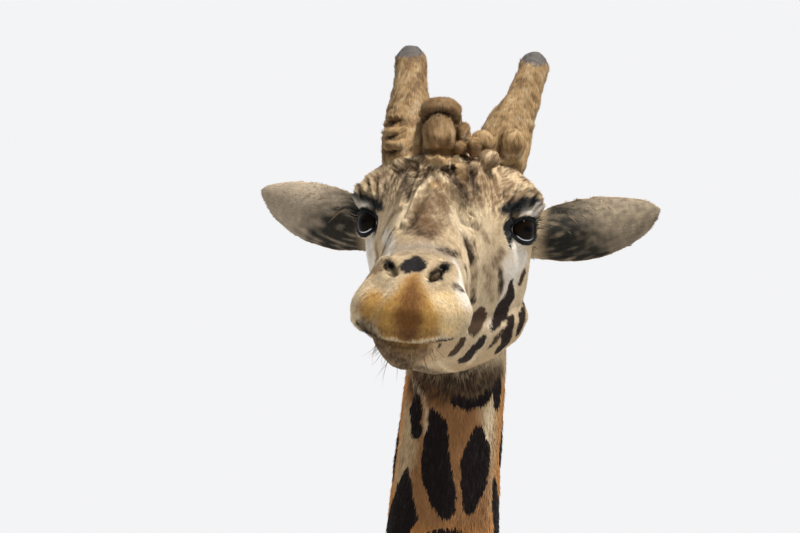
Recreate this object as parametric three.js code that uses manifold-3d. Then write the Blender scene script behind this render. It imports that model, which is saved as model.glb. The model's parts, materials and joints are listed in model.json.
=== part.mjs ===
// Adult bull giraffe, standing, life size. Millimetres, +Z up, feet on z = 0.
// The animal faces -Y and its left side is +X. The origin is on the floor under the middle of
// its bounding box. Places on the body are written (x, forward, z), with forward = -Y.
// The flesh is lofted whole, then parted into named pieces by thin flat cuts.
import * as THREE from "three";
import { mergeVertices } from "three/addons/utils/BufferGeometryUtils.js";
import Module from "manifold-3d";

const wasm = await Module();
wasm.setup();

// ---------------------------------------------------------------- driving dimensions
const CUT = 0.6; // width of the cuts between pieces of flesh
const GAP = 0.4; // clearance round a piece that is set on or into the flesh
const REACH = 8000; // size of the blocks that stand for half spaces

const EYE_HEIGHT = 4880;
const EYE_FORWARD = 1570;
const EYE_OFFSET = 30; // the neck leans a little to the animal's left
const HEAD_DIP = 17; // degrees that the face points below level
const HEAD_TURN = 6; // degrees that the face turns to the animal's right
const HEAD_TILT = 3; // degrees that the crown tips to the animal's left
const EYE_SPACING = 216; // between the centres of the eyeballs
const EYEBALL_RADIUS = 26;

const HORN_LENGTH = 300; // from the root inside the skull to the tip
const EAR_HALF_WIDTH = 46;
const EAR_THICKNESS = 10;

const FORE_FEET = { x: 185, forward: 560 };
const HIND_FEET = { x: 195, forward: -640 };
const HOOF_HEIGHT = 145;
const HOOF_LENGTH = 262;
const FOOT_WIDTH = 196;
const CLEFT = 9; // between the two hooves of a foot

const MANE_HEIGHT = 78;
const MANE_THICKNESS = 34;

// ---------------------------------------------------------------- finishes
const finish = (color, roughness) =>
  new THREE.MeshStandardMaterial({ color, roughness, metalness: 0 });
const COAT = finish(0xb98a52, 0.9);
const EAR_COAT = finish(0xb9a486, 0.9);
const HORN_COAT = finish(0x8a6a43, 0.9);
const MANE_HAIR = finish(0x6b4426, 0.85);
const TAIL_HAIR = finish(0x1c1613, 0.6);
const HOOF_HORN = finish(0x4a4038, 0.55);
const EYE = finish(0x120d0b, 0.1);

// ---------------------------------------------------------------- tools
const at = (x, forward, z) => new THREE.Vector3(x, -forward, z);
const SIDEWAYS = new THREE.Vector3(1, 0, 0);
const UPWARDS = new THREE.Vector3(0, 0, 1);
const FORWARDS = new THREE.Vector3(0, -1, 0);

// A closed geometry as a manifold-3d solid, with its faces turned outwards.
function solidOf(geometry) {
  const bare = geometry.clone();
  for (const name of ["normal", "uv"]) bare.deleteAttribute(name);
  const merged = mergeVertices(bare, 1e-4);
  const build = (triVerts) =>
    new wasm.Manifold(
      new wasm.Mesh({ numProp: 3, vertProperties: merged.attributes.position.array, triVerts }),
    );
  const faces = new Uint32Array(merged.index.array);
  const made = build(faces);
  return made.volume() < 0 ? build(faces.slice().reverse()) : made;
}

const join = (solids) => solids.reduce((whole, next) => whole.add(next));

// A smooth curve through rows of [position, value, value, ...], read at any position.
function smoothThrough(rows) {
  const positions = rows.map(([position]) => position);
  const values = rows.flatMap(([, ...rest]) => rest);
  const spline = new THREE.CubicInterpolant(positions, values, rows[0].length - 1);
  return (position) => [...spline.evaluate(position)];
}

// One closed ring round a centre. The ring lies across `along`; `side` is its width direction.
function ring(centre, along, side, { half, over, under, overPower = 2, underPower = 2 }, count) {
  const up = new THREE.Vector3().crossVectors(along, side).normalize();
  const across = new THREE.Vector3().crossVectors(up, along).normalize();
  return Array.from({ length: count }, (_, i) => {
    const angle = (2 * Math.PI * i) / count;
    const c = Math.cos(angle);
    const s = Math.sin(angle);
    const power = 2 / (s > 0 ? overPower : underPower);
    const x = half * Math.sign(c) * Math.abs(c) ** power;
    const y = (s > 0 ? over : under) * Math.sign(s) * Math.abs(s) ** power;
    return centre.clone().addScaledVector(across, x).addScaledVector(up, y);
  });
}

// The same ring, larger all round.
const grown = ({ half, over, under, ...rest }, grow) => ({
  half: half + grow,
  over: over + grow,
  under: under + grow,
  ...rest,
});

const round = (radius) => ({ half: radius, over: radius, under: radius });

// A closed skin over rings of equal count, with a fan over each end.
function loft(rings) {
  const count = rings[0].length;
  const middle = (r) => r.reduce((sum, p) => sum.add(p), new THREE.Vector3()).divideScalar(count);
  const points = [...rings.flat(), middle(rings[0]), middle(rings.at(-1))];
  const first = points.length - 2;
  const last = points.length - 1;
  const faces = [];
  for (let j = 0; j < count; j++) {
    const k = (j + 1) % count;
    faces.push(k, j, first);
    for (let i = 0; i + 1 < rings.length; i++) {
      const a = i * count;
      const b = a + count;
      faces.push(a + j, a + k, b + k, a + j, b + k, b + j);
    }
    faces.push(last - 1 - count + j, last - 1 - count + k, last);
  }
  return new THREE.BufferGeometry().setFromPoints(points).setIndex(faces);
}

const ellipsoid = (centre, radii, wide, high) =>
  new THREE.SphereGeometry(1, wide, high).scale(...radii).translate(...centre);

// All space on the side of a plane that `normal` points to, moved back by `shift`.
function halfSpace({ point, normal }, shift = 0) {
  const outward = normal.clone().normalize();
  const turn = new THREE.Quaternion().setFromUnitVectors(UPWARDS, outward);
  const block = new THREE.BoxGeometry(REACH, REACH, REACH).translate(0, 0, REACH / 2 + shift);
  return solidOf(block.applyQuaternion(turn).translate(point.x, point.y, point.z));
}

// ---------------------------------------------------------------- trunk
// [forward, top, bottom, half width, how high up the side the widest line lies]
const TRUNK = smoothThrough([
  [-850, 2480, 2270, 84, 0.5],
  [-800, 2570, 2130, 160, 0.5],
  [-690, 2650, 2010, 232, 0.52],
  [-520, 2700, 1985, 285, 0.5],
  [-300, 2755, 1960, 322, 0.45],
  [-60, 2820, 1905, 352, 0.42],
  [200, 2905, 1868, 362, 0.42],
  [420, 3010, 1862, 342, 0.44],
  [560, 3060, 1895, 318, 0.46],
  [700, 3010, 1975, 288, 0.46],
  [820, 2860, 2090, 236, 0.45],
  [905, 2640, 2230, 140, 0.45],
]);
const [TRUNK_BACK, TRUNK_FRONT] = [-850, 905];
const TRUNK_RINGS = 16;
const TRUNK_SIDES = 20;

function trunk(grow) {
  const rings = Array.from({ length: TRUNK_RINGS }, (_, i) => {
    const forward = TRUNK_BACK + ((TRUNK_FRONT - TRUNK_BACK) * i) / (TRUNK_RINGS - 1);
    const [top, bottom, half, level] = TRUNK(forward);
    const widest = bottom + (top - bottom) * level;
    const size = { half, over: top - widest, under: widest - bottom };
    const shape = grown({ ...size, overPower: 1.75, underPower: 2.15 }, grow);
    return ring(at(0, forward, widest), FORWARDS, SIDEWAYS, shape, TRUNK_SIDES);
  });
  return solidOf(loft(rings));
}

// ---------------------------------------------------------------- neck
// [share of the length, x, forward, height, half width, depth behind, depth in front]
const NECK = smoothThrough([
  [0, 0, 560, 2420, 262, 430, 330],
  [0.1, 0, 640, 2660, 232, 400, 330],
  [0.22, 0, 745, 2960, 192, 318, 282],
  [0.38, 0, 882, 3360, 152, 232, 214],
  [0.55, 2, 1032, 3800, 122, 182, 168],
  [0.72, 10, 1180, 4215, 100, 150, 140],
  [0.86, 31, 1302, 4560, 84, 130, 118],
  [0.95, 50, 1375, 4760, 75, 122, 106],
  [1, 54, 1418, 4868, 70, 108, 96],
]);
const NECK_RINGS = 16;
const NECK_SIDES = 16;

function neckAxis(share) {
  const [x, forward, z] = NECK(share);
  return at(x, forward, z);
}

const neckDirection = (share) =>
  neckAxis(Math.min(1, share + 0.02)).sub(neckAxis(Math.max(0, share - 0.02))).normalize();

function neck(grow) {
  const rings = Array.from({ length: NECK_RINGS }, (_, i) => {
    const share = i / (NECK_RINGS - 1);
    const [, , , half, behind, front] = NECK(share);
    const size = { half, over: behind, under: front, overPower: 1.9, underPower: 2.1 };
    return ring(neckAxis(share), neckDirection(share), SIDEWAYS, grown(size, grow), NECK_SIDES);
  });
  return solidOf(loft(rings));
}

// ---------------------------------------------------------------- legs
// [height, forward of the foot, outward of the foot, half depth, half width]
const FORE_LEG = smoothThrough([
  [HOOF_HEIGHT, 16, 0, 80, 84],
  [200, 10, 0, 61, 61],
  [325, -4, 0, 64, 60],
  [430, -8, 0, 50, 48],
  [680, -12, 2, 49, 46],
  [900, -10, 4, 66, 60],
  [1010, -2, 6, 80, 74],
  [1110, -8, 8, 76, 70],
  [1350, -18, 12, 86, 70],
  [1650, -30, 20, 118, 84],
  [1880, -40, 30, 166, 98],
  [2120, -20, 34, 206, 108],
  [2280, 0, 20, 214, 100],
  [2400, 20, -20, 200, 80],
  [2560, 40, -70, 140, 60],
]);
const HIND_LEG = smoothThrough([
  [HOOF_HEIGHT, 10, 0, 80, 84],
  [200, 2, 0, 60, 60],
  [325, -10, 0, 62, 58],
  [430, -12, 0, 50, 46],
  [700, -14, -2, 51, 46],
  [920, -24, -4, 68, 55],
  [1040, -30, -4, 92, 62],
  [1140, -14, -2, 86, 60],
  [1330, 30, 4, 94, 64],
  [1580, 72, 12, 138, 84],
  [1830, 92, 20, 194, 104],
  [2080, 74, 14, 236, 116],
  [2240, 50, -14, 226, 104],
  [2380, 30, -60, 196, 84],
  [2520, 20, -110, 140, 60],
]);
const LEG_SIDES = 12;
const LEG_HEIGHTS = [
  HOOF_HEIGHT, 200, 260, 325, 400, 540, 720, 880, 950, 1010, 1090, 1180, 1350, 1560, 1780, 1970,
  2150, 2320, 2480,
];

function leg(shape, foot, side, grow) {
  const rings = LEG_HEIGHTS.toReversed().map((z) => {
    const [forward, outward, depth, half] = shape(z);
    const centre = at(side * (foot.x + outward), foot.forward + forward, z);
    const size = { half, over: depth, under: depth, overPower: 2.1, underPower: 2.1 };
    return ring(centre, UPWARDS.clone().negate(), SIDEWAYS, grown(size, grow), LEG_SIDES);
  });
  return solidOf(loft(rings));
}

// [share of the height, width, length, how far forward of the foot]
const HOOF = [
  [0, 1, 1, 22],
  [0.25, 1, 0.99, 20],
  [0.65, 0.9, 0.82, 14],
  [1, 0.8, 0.6, 14],
];
const HOOF_SIDES = 12;

// One of the two hooves of a foot: flat underneath, leaning back to the coronet.
function hoof(foot, side, half) {
  const wide = (FOOT_WIDTH - CLEFT) / 4;
  const rings = HOOF.map(([height, width, length, forward]) => {
    const z = height * (HOOF_HEIGHT - GAP);
    const centre = at(side * foot.x + half * (CLEFT / 2 + wide), foot.forward + forward, z);
    const depth = (HOOF_LENGTH / 2) * length;
    const size = { half: wide * width, over: depth, under: depth, overPower: 2.4, underPower: 2.4 };
    return ring(centre, UPWARDS, SIDEWAYS, size, HOOF_SIDES);
  });
  return solidOf(loft(rings));
}

// ---------------------------------------------------------------- tail and its tuft
// [height, forward, radius of the tail]
const TAIL_ROOT = 2560;
const TAIL_END = 1540;
const TAIL = smoothThrough([
  [900, -912, 10],
  [1500, -930, 20],
  [1930, -938, 27],
  [2310, -915, 38],
  [2470, -862, 50],
  [TAIL_ROOT, -770, 60],
]);
const TAIL_HEIGHTS = [TAIL_ROOT, 2515, 2470, 2400, 2310, 2180, 2000, 1780, TAIL_END];
// [height, radius of the tuft]
const TUFT = [
  [TAIL_END - GAP, 24],
  [1450, 42],
  [1350, 56],
  [1240, 62],
  [1130, 58],
  [1030, 42],
  [950, 24],
  [900, 7],
];
const TAIL_SIDES = 10;

function tailRing(z, radius) {
  const [forward] = TAIL(z);
  return ring(at(0, forward, z), UPWARDS.clone().negate(), SIDEWAYS, round(radius), TAIL_SIDES);
}
const tail = (grow) => solidOf(loft(TAIL_HEIGHTS.map((z) => tailRing(z, TAIL(z)[1] + grow))));
const tailTuft = () => solidOf(loft(TUFT.map(([z, radius]) => tailRing(z, radius))));

// ---------------------------------------------------------------- head, in its own frame
// The head's own frame has its origin midway between the eyes, with +Y back and +Z to the crown.
const headPlace = (x, forward, up) => new THREE.Vector3(x, -forward, up);

// [forward, top, bottom, half width, level of the widest line]
const SKULL_AND_NOSE = smoothThrough([
  [-245, -6, -96, 40, -44],
  [-215, 30, -130, 64, -46],
  [-160, 70, -165, 94, -48],
  [-100, 96, -174, 111, -34],
  [-50, 106, -170, 118, -12],
  [0, 110, -166, 118, -4],
  [50, 106, -160, 106, -14],
  [100, 96, -155, 93, -26],
  [160, 70, -152, 79, -44],
  [230, 24, -150, 69, -66],
  [300, -16, -153, 65, -88],
  [350, -36, -160, 68, -106],
  [390, -54, -168, 76, -117],
  [424, -80, -170, 79, -123],
  [448, -104, -162, 62, -130],
  [462, -124, -146, 26, -134],
]);
const SKULL_STATIONS = [
  -245, -210, -170, -125, -80, -35, 5, 35, 65, 100, 135, 175, 220, 270, 320, 355, 385, 410, 432,
  450, 463,
];
const SKULL_SIDES = 24;
const JAW = smoothThrough([
  [-235, -60, -146, 52, -104],
  [-195, -66, -186, 88, -116],
  [-145, -74, -206, 113, -124],
  [-90, -80, -214, 117, -130],
  [-30, -80, -222, 110, -138],
  [40, -90, -222, 92, -146],
  [110, -100, -213, 75, -150],
  [190, -120, -205, 60, -156],
  [270, -140, -201, 50, -160],
  [330, -148, -206, 47, -162],
  [380, -152, -207, 48, -162],
  [412, -160, -196, 42, -170],
  [428, -168, -182, 22, -174],
]);
const JAW_STATIONS = [
  -235, -195, -145, -90, -30, 40, 115, 200, 280, 340, 380, 405, 420, 428,
];
const JAW_SIDES = 16;
const JAW_SHIFT = -11; // the lower lip is held a little to the animal's right, as in chewing

// Places where bone or muscle lifts the skin: where, how far it spreads, how high it stands.
const bothSides = (x, ...rest) => [[x, ...rest], [-x, ...rest]];
const SWELLS = [
  ...bothSides(112, -2, 28, 42, 39), // brow over the eye
  ...bothSides(80, -30, 96, 48, 24), // mound under the horn
  [0, 96, 96, 52, 16], // forehead under the middle horn
  [0, 152, 66, 44, 16], // lump above the nose
  ...bothSides(98, -70, -96, 62, 8), // cheek
  ...bothSides(130, 22, -2, 31, -27), // hollow that the eye sits in
  ...bothSides(42, 384, -66, 24, 7), // rim of the nostril
  ...bothSides(70, 402, -132, 36, 7), // side of the upper lip
].map(([x, forward, up, reach, height]) => ({ place: headPlace(x, forward, up), reach, height }));

function swollen(point, centre) {
  const outward = point.clone().sub(centre).normalize();
  const lift = SWELLS.reduce((sum, { place, reach, height }) => {
    const distance = point.distanceTo(place) / reach;
    return sum + height * Math.exp(-(distance ** 2));
  }, 0);
  return point.clone().addScaledVector(outward, lift);
}

function headLoft(shape, stations, sides, grow, shift) {
  const [back, front] = [stations[0], stations.at(-1)];
  const rings = stations.map((forward) => {
    const [top, bottom, half, level] = shape(Math.min(forward, front - 0.5));
    const size = { half, over: top - level, under: level - bottom };
    const underPower = shape === JAW ? 1.9 : 2.5;
    const outline = grown({ ...size, overPower: 2.1, underPower }, grow);
    const sideways = (shift * (forward - back)) / (front - back);
    const centre = headPlace(sideways, forward, level);
    return ring(centre, FORWARDS, SIDEWAYS, outline, sides).map((p) => swollen(p, centre));
  });
  return solidOf(loft(rings));
}

const headFlesh = (grow) =>
  headLoft(SKULL_AND_NOSE, SKULL_STATIONS, SKULL_SIDES, grow, 0).add(
    headLoft(JAW, JAW_STATIONS, JAW_SIDES, grow, JAW_SHIFT),
  );

// The bull's third horn: a hooded boss in the middle of the forehead.
function boss() {
  const hood = ellipsoid(headPlace(-7, 92, 122), [34, 46, 72], 12, 9);
  const front = ellipsoid(headPlace(-7, 126, 126), [26, 30, 40], 10, 7);
  return solidOf(hood).add(solidOf(front));
}

// [share of the length, radius]
const HORN = [
  [0, 26],
  [0.08, 42],
  [0.18, 48],
  [0.3, 41],
  [0.45, 33],
  [0.62, 28],
  [0.78, 26.5],
  [0.88, 27],
  [0.95, 22],
  [0.985, 13],
  [1, 5],
];
const HORN_ROOT = { x: 74, forward: 0, up: 82 };
const HORN_TIP = { x: 97, forward: -190, up: 277 };
const HORN_LEAN = 5; // both tips lean this far to the animal's left
const HORN_BOW = 10;
const HORN_SIDES = 10;

function horn(side) {
  const root = headPlace(side * HORN_ROOT.x, HORN_ROOT.forward, HORN_ROOT.up);
  const tip = headPlace(side * HORN_TIP.x + HORN_LEAN, HORN_TIP.forward, HORN_TIP.up);
  const along = tip.clone().sub(root).normalize();
  const start = tip.clone().addScaledVector(along, -HORN_LENGTH);
  const rings = HORN.map(([share, radius]) => {
    const bow = HORN_BOW * Math.sin(Math.PI * share);
    const centre = start.clone().lerp(tip, share).add(headPlace(-side * bow, 0, -bow));
    return ring(centre, along, SIDEWAYS, round(radius), HORN_SIDES);
  });
  return solidOf(loft(rings));
}

// An ear is a cupped leaf: each ring is a thin crescent, open towards the face's front.
const EAR_ROOT = { x: 94, forward: -96, up: -8 };
const EAR_TIP = { x: 304, forward: -168, up: 42 };
// [share of the length, half width as a share of the widest, depth of the cup, droop]
const EAR = [
  [0, 0.6, 26, 2],
  [0.1, 0.68, 32, 6],
  [0.2, 0.8, 34, 8],
  [0.32, 0.94, 30, 9],
  [0.46, 1, 24, 9],
  [0.6, 0.97, 18, 9],
  [0.73, 0.85, 13, 8],
  [0.84, 0.66, 9, 6],
  [0.92, 0.46, 6, 4],
  [0.97, 0.27, 4, 2],
  [1, 0.08, 2, 0],
];
const EAR_STEPS = 6;

function ear(side) {
  const root = headPlace(side * EAR_ROOT.x, EAR_ROOT.forward, EAR_ROOT.up);
  const tip = headPlace(side * EAR_TIP.x, EAR_TIP.forward, EAR_TIP.up);
  const along = tip.clone().sub(root).normalize();
  const wide = new THREE.Vector3().crossVectors(along, FORWARDS).multiplyScalar(-side).normalize();
  const deep = new THREE.Vector3().crossVectors(wide, along).multiplyScalar(side).normalize();
  const across = Array.from({ length: EAR_STEPS + 1 }, (_, i) => -1 + (2 * i) / EAR_STEPS);
  const rings = EAR.map(([share, width, cup, droop]) => {
    const half = width * EAR_HALF_WIDTH;
    const middle = root.clone().lerp(tip, share).addScaledVector(wide, -droop);
    const thick = EAR_THICKNESS * (1.3 - 0.6 * share);
    const point = (t, back) => {
      const depth = cup * (1 - t * t) + back * (1 - 0.6 * t ** 4);
      return middle.clone().addScaledVector(wide, half * t).addScaledVector(deep, -depth);
    };
    const outside = across.toReversed().map((t) => point(t, thick));
    return [...across.map((t) => point(t, 0)), ...outside];
  });
  return solidOf(loft(rings));
}

function eyeball(side, grow) {
  const radii = Array(3).fill(EYEBALL_RADIUS + grow);
  return solidOf(ellipsoid(headPlace((side * EYE_SPACING) / 2, 10, 0), radii, 12, 9));
}

function nostril(side) {
  const slit = new THREE.SphereGeometry(1, 8, 5).scale(7, 20, 11);
  slit.rotateX(0.5).rotateZ(-side * 0.5).translate(...headPlace(side * 36, 402, -65));
  return solidOf(slit);
}

// Everything below the line of the mouth, from the lips to the angle of the jaw.
function jawRegion(gap) {
  const line = [[500, -169], [200, -166], [-400, -60]];
  const outline = new THREE.Shape();
  outline.moveTo(500, -500);
  for (const [forward, up] of line) outline.lineTo(forward, up - gap);
  outline.lineTo(-400, -500);
  const block = new THREE.ExtrudeGeometry(outline, { depth: 600, bevelEnabled: false });
  // The outline's (forward, up) becomes (-y, z), and the extrusion runs along x.
  const turn = new THREE.Matrix4().set(0, 0, 1, -300, -1, 0, 0, 0, 0, 1, 0, 0, 0, 0, 0, 1);
  return solidOf(block.applyMatrix4(turn));
}

// ---------------------------------------------------------------- mane
// A low upright wall of hair along the back of the neck, from the withers to the poll.
const [MANE_START, MANE_END] = [0.16, 0.99];
const MANE_RINGS = 12;

function mane() {
  const rings = Array.from({ length: MANE_RINGS }, (_, i) => {
    const share = MANE_START + ((MANE_END - MANE_START) * i) / (MANE_RINGS - 1);
    const dorsal = new THREE.Vector3().crossVectors(neckDirection(share), SIDEWAYS).normalize();
    const [, , , , behind] = NECK(share);
    const rise = Math.min(1, 0.35 + 2.2 * (share - MANE_START), 0.2 + 8 * (MANE_END - share));
    const centre = neckAxis(share).addScaledVector(dorsal, behind);
    const size = { half: MANE_THICKNESS / 2, over: MANE_HEIGHT * rise, under: 45 };
    const outline = { ...size, overPower: 2.6, underPower: 2.6 };
    return ring(centre, neckDirection(share), SIDEWAYS, outline, 8);
  });
  return solidOf(loft(rings));
}

// ---------------------------------------------------------------- assembly
const giraffe = new THREE.Group();
const head = new THREE.Group();
head.position.copy(at(EYE_OFFSET, EYE_FORWARD, EYE_HEIGHT));
const degrees = THREE.MathUtils.degToRad;
head.rotation.set(degrees(HEAD_DIP), degrees(HEAD_TILT), degrees(-HEAD_TURN), "YXZ");
giraffe.add(head);
head.updateMatrixWorld(true);

const toWorld = (solid) => solid.transform(head.matrixWorld.elements);

// Adds a solid given in world space to a group, as a mesh in the group's own frame.
function place(group, name, solid, material) {
  const { vertProperties, triVerts } = solid.getMesh();
  const geometry = new THREE.BufferGeometry();
  geometry.setAttribute("position", new THREE.BufferAttribute(vertProperties, 3));
  geometry.setIndex(new THREE.BufferAttribute(triVerts, 1));
  geometry.applyMatrix4(group.matrixWorld.clone().invert());
  geometry.computeVertexNormals();
  const mesh = new THREE.Mesh(geometry, material);
  mesh.name = name;
  group.add(mesh);
}

const SIDES = [
  { side: 1, hand: "left" },
  { side: -1, hand: "right" },
];
// A leg is parted from the trunk between two upright planes, under a plane that slants outwards
// through [x, height] at the armpit or groin and at the flank.
const LEGS = [
  {
    name: "foreleg",
    shape: FORE_LEG,
    foot: FORE_FEET,
    inner: [-5, 1790],
    outer: [530, 2330],
    from: 346,
    to: 800,
  },
  {
    name: "hindleg",
    shape: HIND_LEG,
    foot: HIND_FEET,
    inner: [-10, 1885],
    outer: [520, 2430],
    from: -880,
    to: -326,
  },
].flatMap((kind) => SIDES.map((s) => ({ ...kind, ...s, name: `${kind.name}_${s.hand}` })));

function legRegion({ side, inner, outer, from, to }, gap) {
  const outline = new THREE.Shape();
  outline.moveTo(inner[0], inner[1] - gap).lineTo(outer[0], outer[1] - gap);
  outline.lineTo(outer[0], -100).lineTo(inner[0], -100);
  const depth = to - from - 2 * gap;
  const block = new THREE.ExtrudeGeometry(outline, { depth, bevelEnabled: false });
  // The outline's (x, height) stays, and the extrusion runs backwards from the front limit.
  const turn = new THREE.Matrix4();
  turn.set(side, 0, 0, 0, 0, 0, 1, -to + gap, 0, 1, 0, 0, 0, 0, 0, 1);
  return solidOf(block.applyMatrix4(turn));
}

let remaining = join([
  trunk(0),
  neck(0),
  tail(0),
  ...LEGS.map((l) => leg(l.shape, l.foot, l.side, 0)),
  toWorld(headFlesh(0)),
]);
const aroundHead = toWorld(headFlesh(GAP)).add(neck(GAP));
const aroundBack = aroundHead.add(trunk(GAP));

// Parts off what lies in a region, and leaves a cut between it and the rest.
function partOff(region) {
  const piece = remaining.intersect(region(CUT / 2));
  remaining = remaining.subtract(region(-CUT / 2));
  return piece;
}

const behindHead = {
  point: at(EYE_OFFSET, EYE_FORWARD - 172, EYE_HEIGHT - 45),
  normal: at(0.05, 0.93, 0.36),
};
const neckBase = { point: at(0, 690, 2740), normal: at(0, 0.79, 0.61) };
const tailRoot = { point: at(0, -856, 2480), normal: at(0, -1, 0) };

const wholeHead = partOff((gap) => halfSpace(behindHead, gap));
place(giraffe, "neck", partOff((gap) => halfSpace(neckBase, gap)), COAT);
place(giraffe, "tail", partOff((gap) => halfSpace(tailRoot, gap)), COAT);
for (const l of LEGS) place(giraffe, l.name, partOff((gap) => legRegion(l, gap)), COAT);
place(giraffe, "trunk", remaining, COAT);

const sockets = join(SIDES.map(({ side }) => eyeball(side, GAP)));
const nostrils = join(SIDES.map(({ side }) => nostril(side)));
const hollowHead = wholeHead.subtract(toWorld(sockets.add(nostrils)));
place(head, "head", hollowHead.subtract(toWorld(jawRegion(-CUT / 2))), COAT);
place(head, "lower_jaw", wholeHead.intersect(toWorld(jawRegion(CUT / 2))), COAT);
place(head, "horn_middle", toWorld(boss()).subtract(aroundHead), HORN_COAT);
for (const { side, hand } of SIDES) {
  place(head, `eye_${hand}`, toWorld(eyeball(side, 0)), EYE);
  place(head, `horn_${hand}`, toWorld(horn(side)).subtract(aroundHead), HORN_COAT);
  place(head, `ear_${hand}`, toWorld(ear(side)).subtract(aroundHead), EAR_COAT);
}

place(giraffe, "mane", mane().subtract(aroundBack), MANE_HAIR);
place(giraffe, "tail_tuft", tailTuft(), TAIL_HAIR);
for (const l of LEGS) {
  for (const half of [-1, 1]) {
    const name = `hoof_${l.name}_${half * l.side > 0 ? "outer" : "inner"}`;
    place(giraffe, name, hoof(l.foot, l.side, half), HOOF_HORN);
  }
}

// The origin goes on the floor under the middle of the whole animal.
const box = new THREE.Box3().setFromObject(giraffe, true);
const centre = box.getCenter(new THREE.Vector3());
giraffe.position.set(-centre.x, -centre.y, -box.min.z);

export default giraffe;
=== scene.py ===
# %% [markdown]
# # A standing bull giraffe
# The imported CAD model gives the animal's size, stance and outline. This file gives it its looks:
# one soft skin over all the flesh, wet eyes, furred horns, horny hooves and a coat of short hair.
# Every length is in metres, the animal faces -Y, and its left side is +X.

# %% The tools and the frame
import json
import math

import bmesh
import bpy
import numpy as np
from mathutils import Matrix, Vector

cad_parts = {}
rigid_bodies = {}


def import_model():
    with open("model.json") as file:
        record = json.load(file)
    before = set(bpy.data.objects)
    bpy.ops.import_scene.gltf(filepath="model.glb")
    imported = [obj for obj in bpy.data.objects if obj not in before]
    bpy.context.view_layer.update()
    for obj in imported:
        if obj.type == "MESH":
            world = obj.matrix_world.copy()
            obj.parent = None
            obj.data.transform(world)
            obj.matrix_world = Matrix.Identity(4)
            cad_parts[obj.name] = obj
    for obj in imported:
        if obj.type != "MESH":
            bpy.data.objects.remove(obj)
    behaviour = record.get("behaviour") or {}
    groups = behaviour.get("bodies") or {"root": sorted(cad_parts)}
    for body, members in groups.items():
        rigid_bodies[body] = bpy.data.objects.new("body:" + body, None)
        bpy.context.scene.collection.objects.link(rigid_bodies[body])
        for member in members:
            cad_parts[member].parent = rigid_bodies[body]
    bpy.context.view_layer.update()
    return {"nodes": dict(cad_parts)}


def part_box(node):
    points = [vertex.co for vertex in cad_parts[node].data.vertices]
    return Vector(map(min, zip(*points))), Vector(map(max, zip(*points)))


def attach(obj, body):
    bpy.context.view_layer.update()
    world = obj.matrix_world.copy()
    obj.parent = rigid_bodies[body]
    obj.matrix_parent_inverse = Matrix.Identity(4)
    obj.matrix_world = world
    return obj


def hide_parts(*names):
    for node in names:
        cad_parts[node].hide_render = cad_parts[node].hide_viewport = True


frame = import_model()
nodes = frame["nodes"]
print("CAD nodes:", sorted(nodes))

# %% [markdown]
# ## The head's own frame
# The head dips, tilts and turns on the neck, so places on the face are easier to give in a frame
# of its own: x to the animal's left, `forward` out of the face and `up` to the crown, in
# millimetres from the point midway between the eyes. Two helpers go between it and the world.

# %% The head's frame
HEAD_DIP = math.radians(17)
HEAD_TILT = math.radians(3)
HEAD_TURN = math.radians(-6)
EYEBALL_FORWARD = 0.010

head_turn = (
    Matrix.Rotation(HEAD_TILT, 3, "Y")
    @ Matrix.Rotation(HEAD_DIP, 3, "X")
    @ Matrix.Rotation(HEAD_TURN, 3, "Z")
)


def middle_of(node):
    low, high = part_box(node)
    return (low + high) / 2


between_eyes = (middle_of("eye_left") + middle_of("eye_right")) / 2
head_origin = between_eyes - head_turn @ Vector((0, -EYEBALL_FORWARD, 0))
HEAD_AXES = np.array(head_turn)
HEAD_ORIGIN = np.array(head_origin)


def to_head(points):
    """World points as (x, forward, up) in the head's frame, in millimetres."""
    local = (np.asarray(points, float) - HEAD_ORIGIN) @ HEAD_AXES
    return local * (1000, -1000, 1000)


def from_head(points):
    """Points in the head's frame, in millimetres, as world points."""
    return (np.asarray(points, float) * (0.001, -0.001, 0.001)) @ HEAD_AXES.T + HEAD_ORIGIN


def head_direction(directions):
    return (np.asarray(directions, float) * (1, -1, 1)) @ HEAD_AXES.T


def over_throat(where):
    """How high a place lies over the slope of the jaw: below about -250 is the neck."""
    return where[:, 2] + 0.35 * where[:, 1]


print("head origin:", [round(float(v), 4) for v in HEAD_ORIGIN])

# %% [markdown]
# ## Helpers for materials
# Every surface is procedural: noise on the piece's own coordinates, and colours stored on its
# corners. These short functions each add one node or one small group of them.

# %% Node helpers
def new_material(name, roughness, specular=0.5, sheen=0.0):
    material = bpy.data.materials.new(name)
    material.use_nodes = True
    tree = material.node_tree
    shader = tree.nodes["Principled BSDF"]
    shader.inputs["Roughness"].default_value = roughness
    shader.inputs["Specular IOR Level"].default_value = specular
    shader.inputs["Sheen Weight"].default_value = sheen
    return material, tree, shader


def add_node(tree, kind, **settings):
    node = tree.nodes.new(kind)
    for name, value in settings.items():
        setattr(node, name, value)
    return node


def noise(tree, scale, detail=3.0, stretch=(1, 1, 1)):
    """Noise on Object coordinates, with an optional stretch, as (node, value output)."""
    place = add_node(tree, "ShaderNodeTexCoord")
    squeeze = add_node(tree, "ShaderNodeMapping")
    squeeze.inputs["Scale"].default_value = stretch
    cloud = add_node(tree, "ShaderNodeTexNoise")
    cloud.inputs["Scale"].default_value = scale
    cloud.inputs["Detail"].default_value = detail
    tree.links.new(place.outputs["Object"], squeeze.inputs["Vector"])
    tree.links.new(squeeze.outputs["Vector"], cloud.inputs["Vector"])
    return cloud.outputs["Fac"]


def rescale(tree, value, low, high, to_low, to_high, ease="LINEAR"):
    node = add_node(tree, "ShaderNodeMapRange", interpolation_type=ease)
    for slot_name, number in zip(
        ("From Min", "From Max", "To Min", "To Max"), (low, high, to_low, to_high)
    ):
        node.inputs[slot_name].default_value = number
    tree.links.new(value, node.inputs["Value"])
    return node.outputs["Result"]


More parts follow.
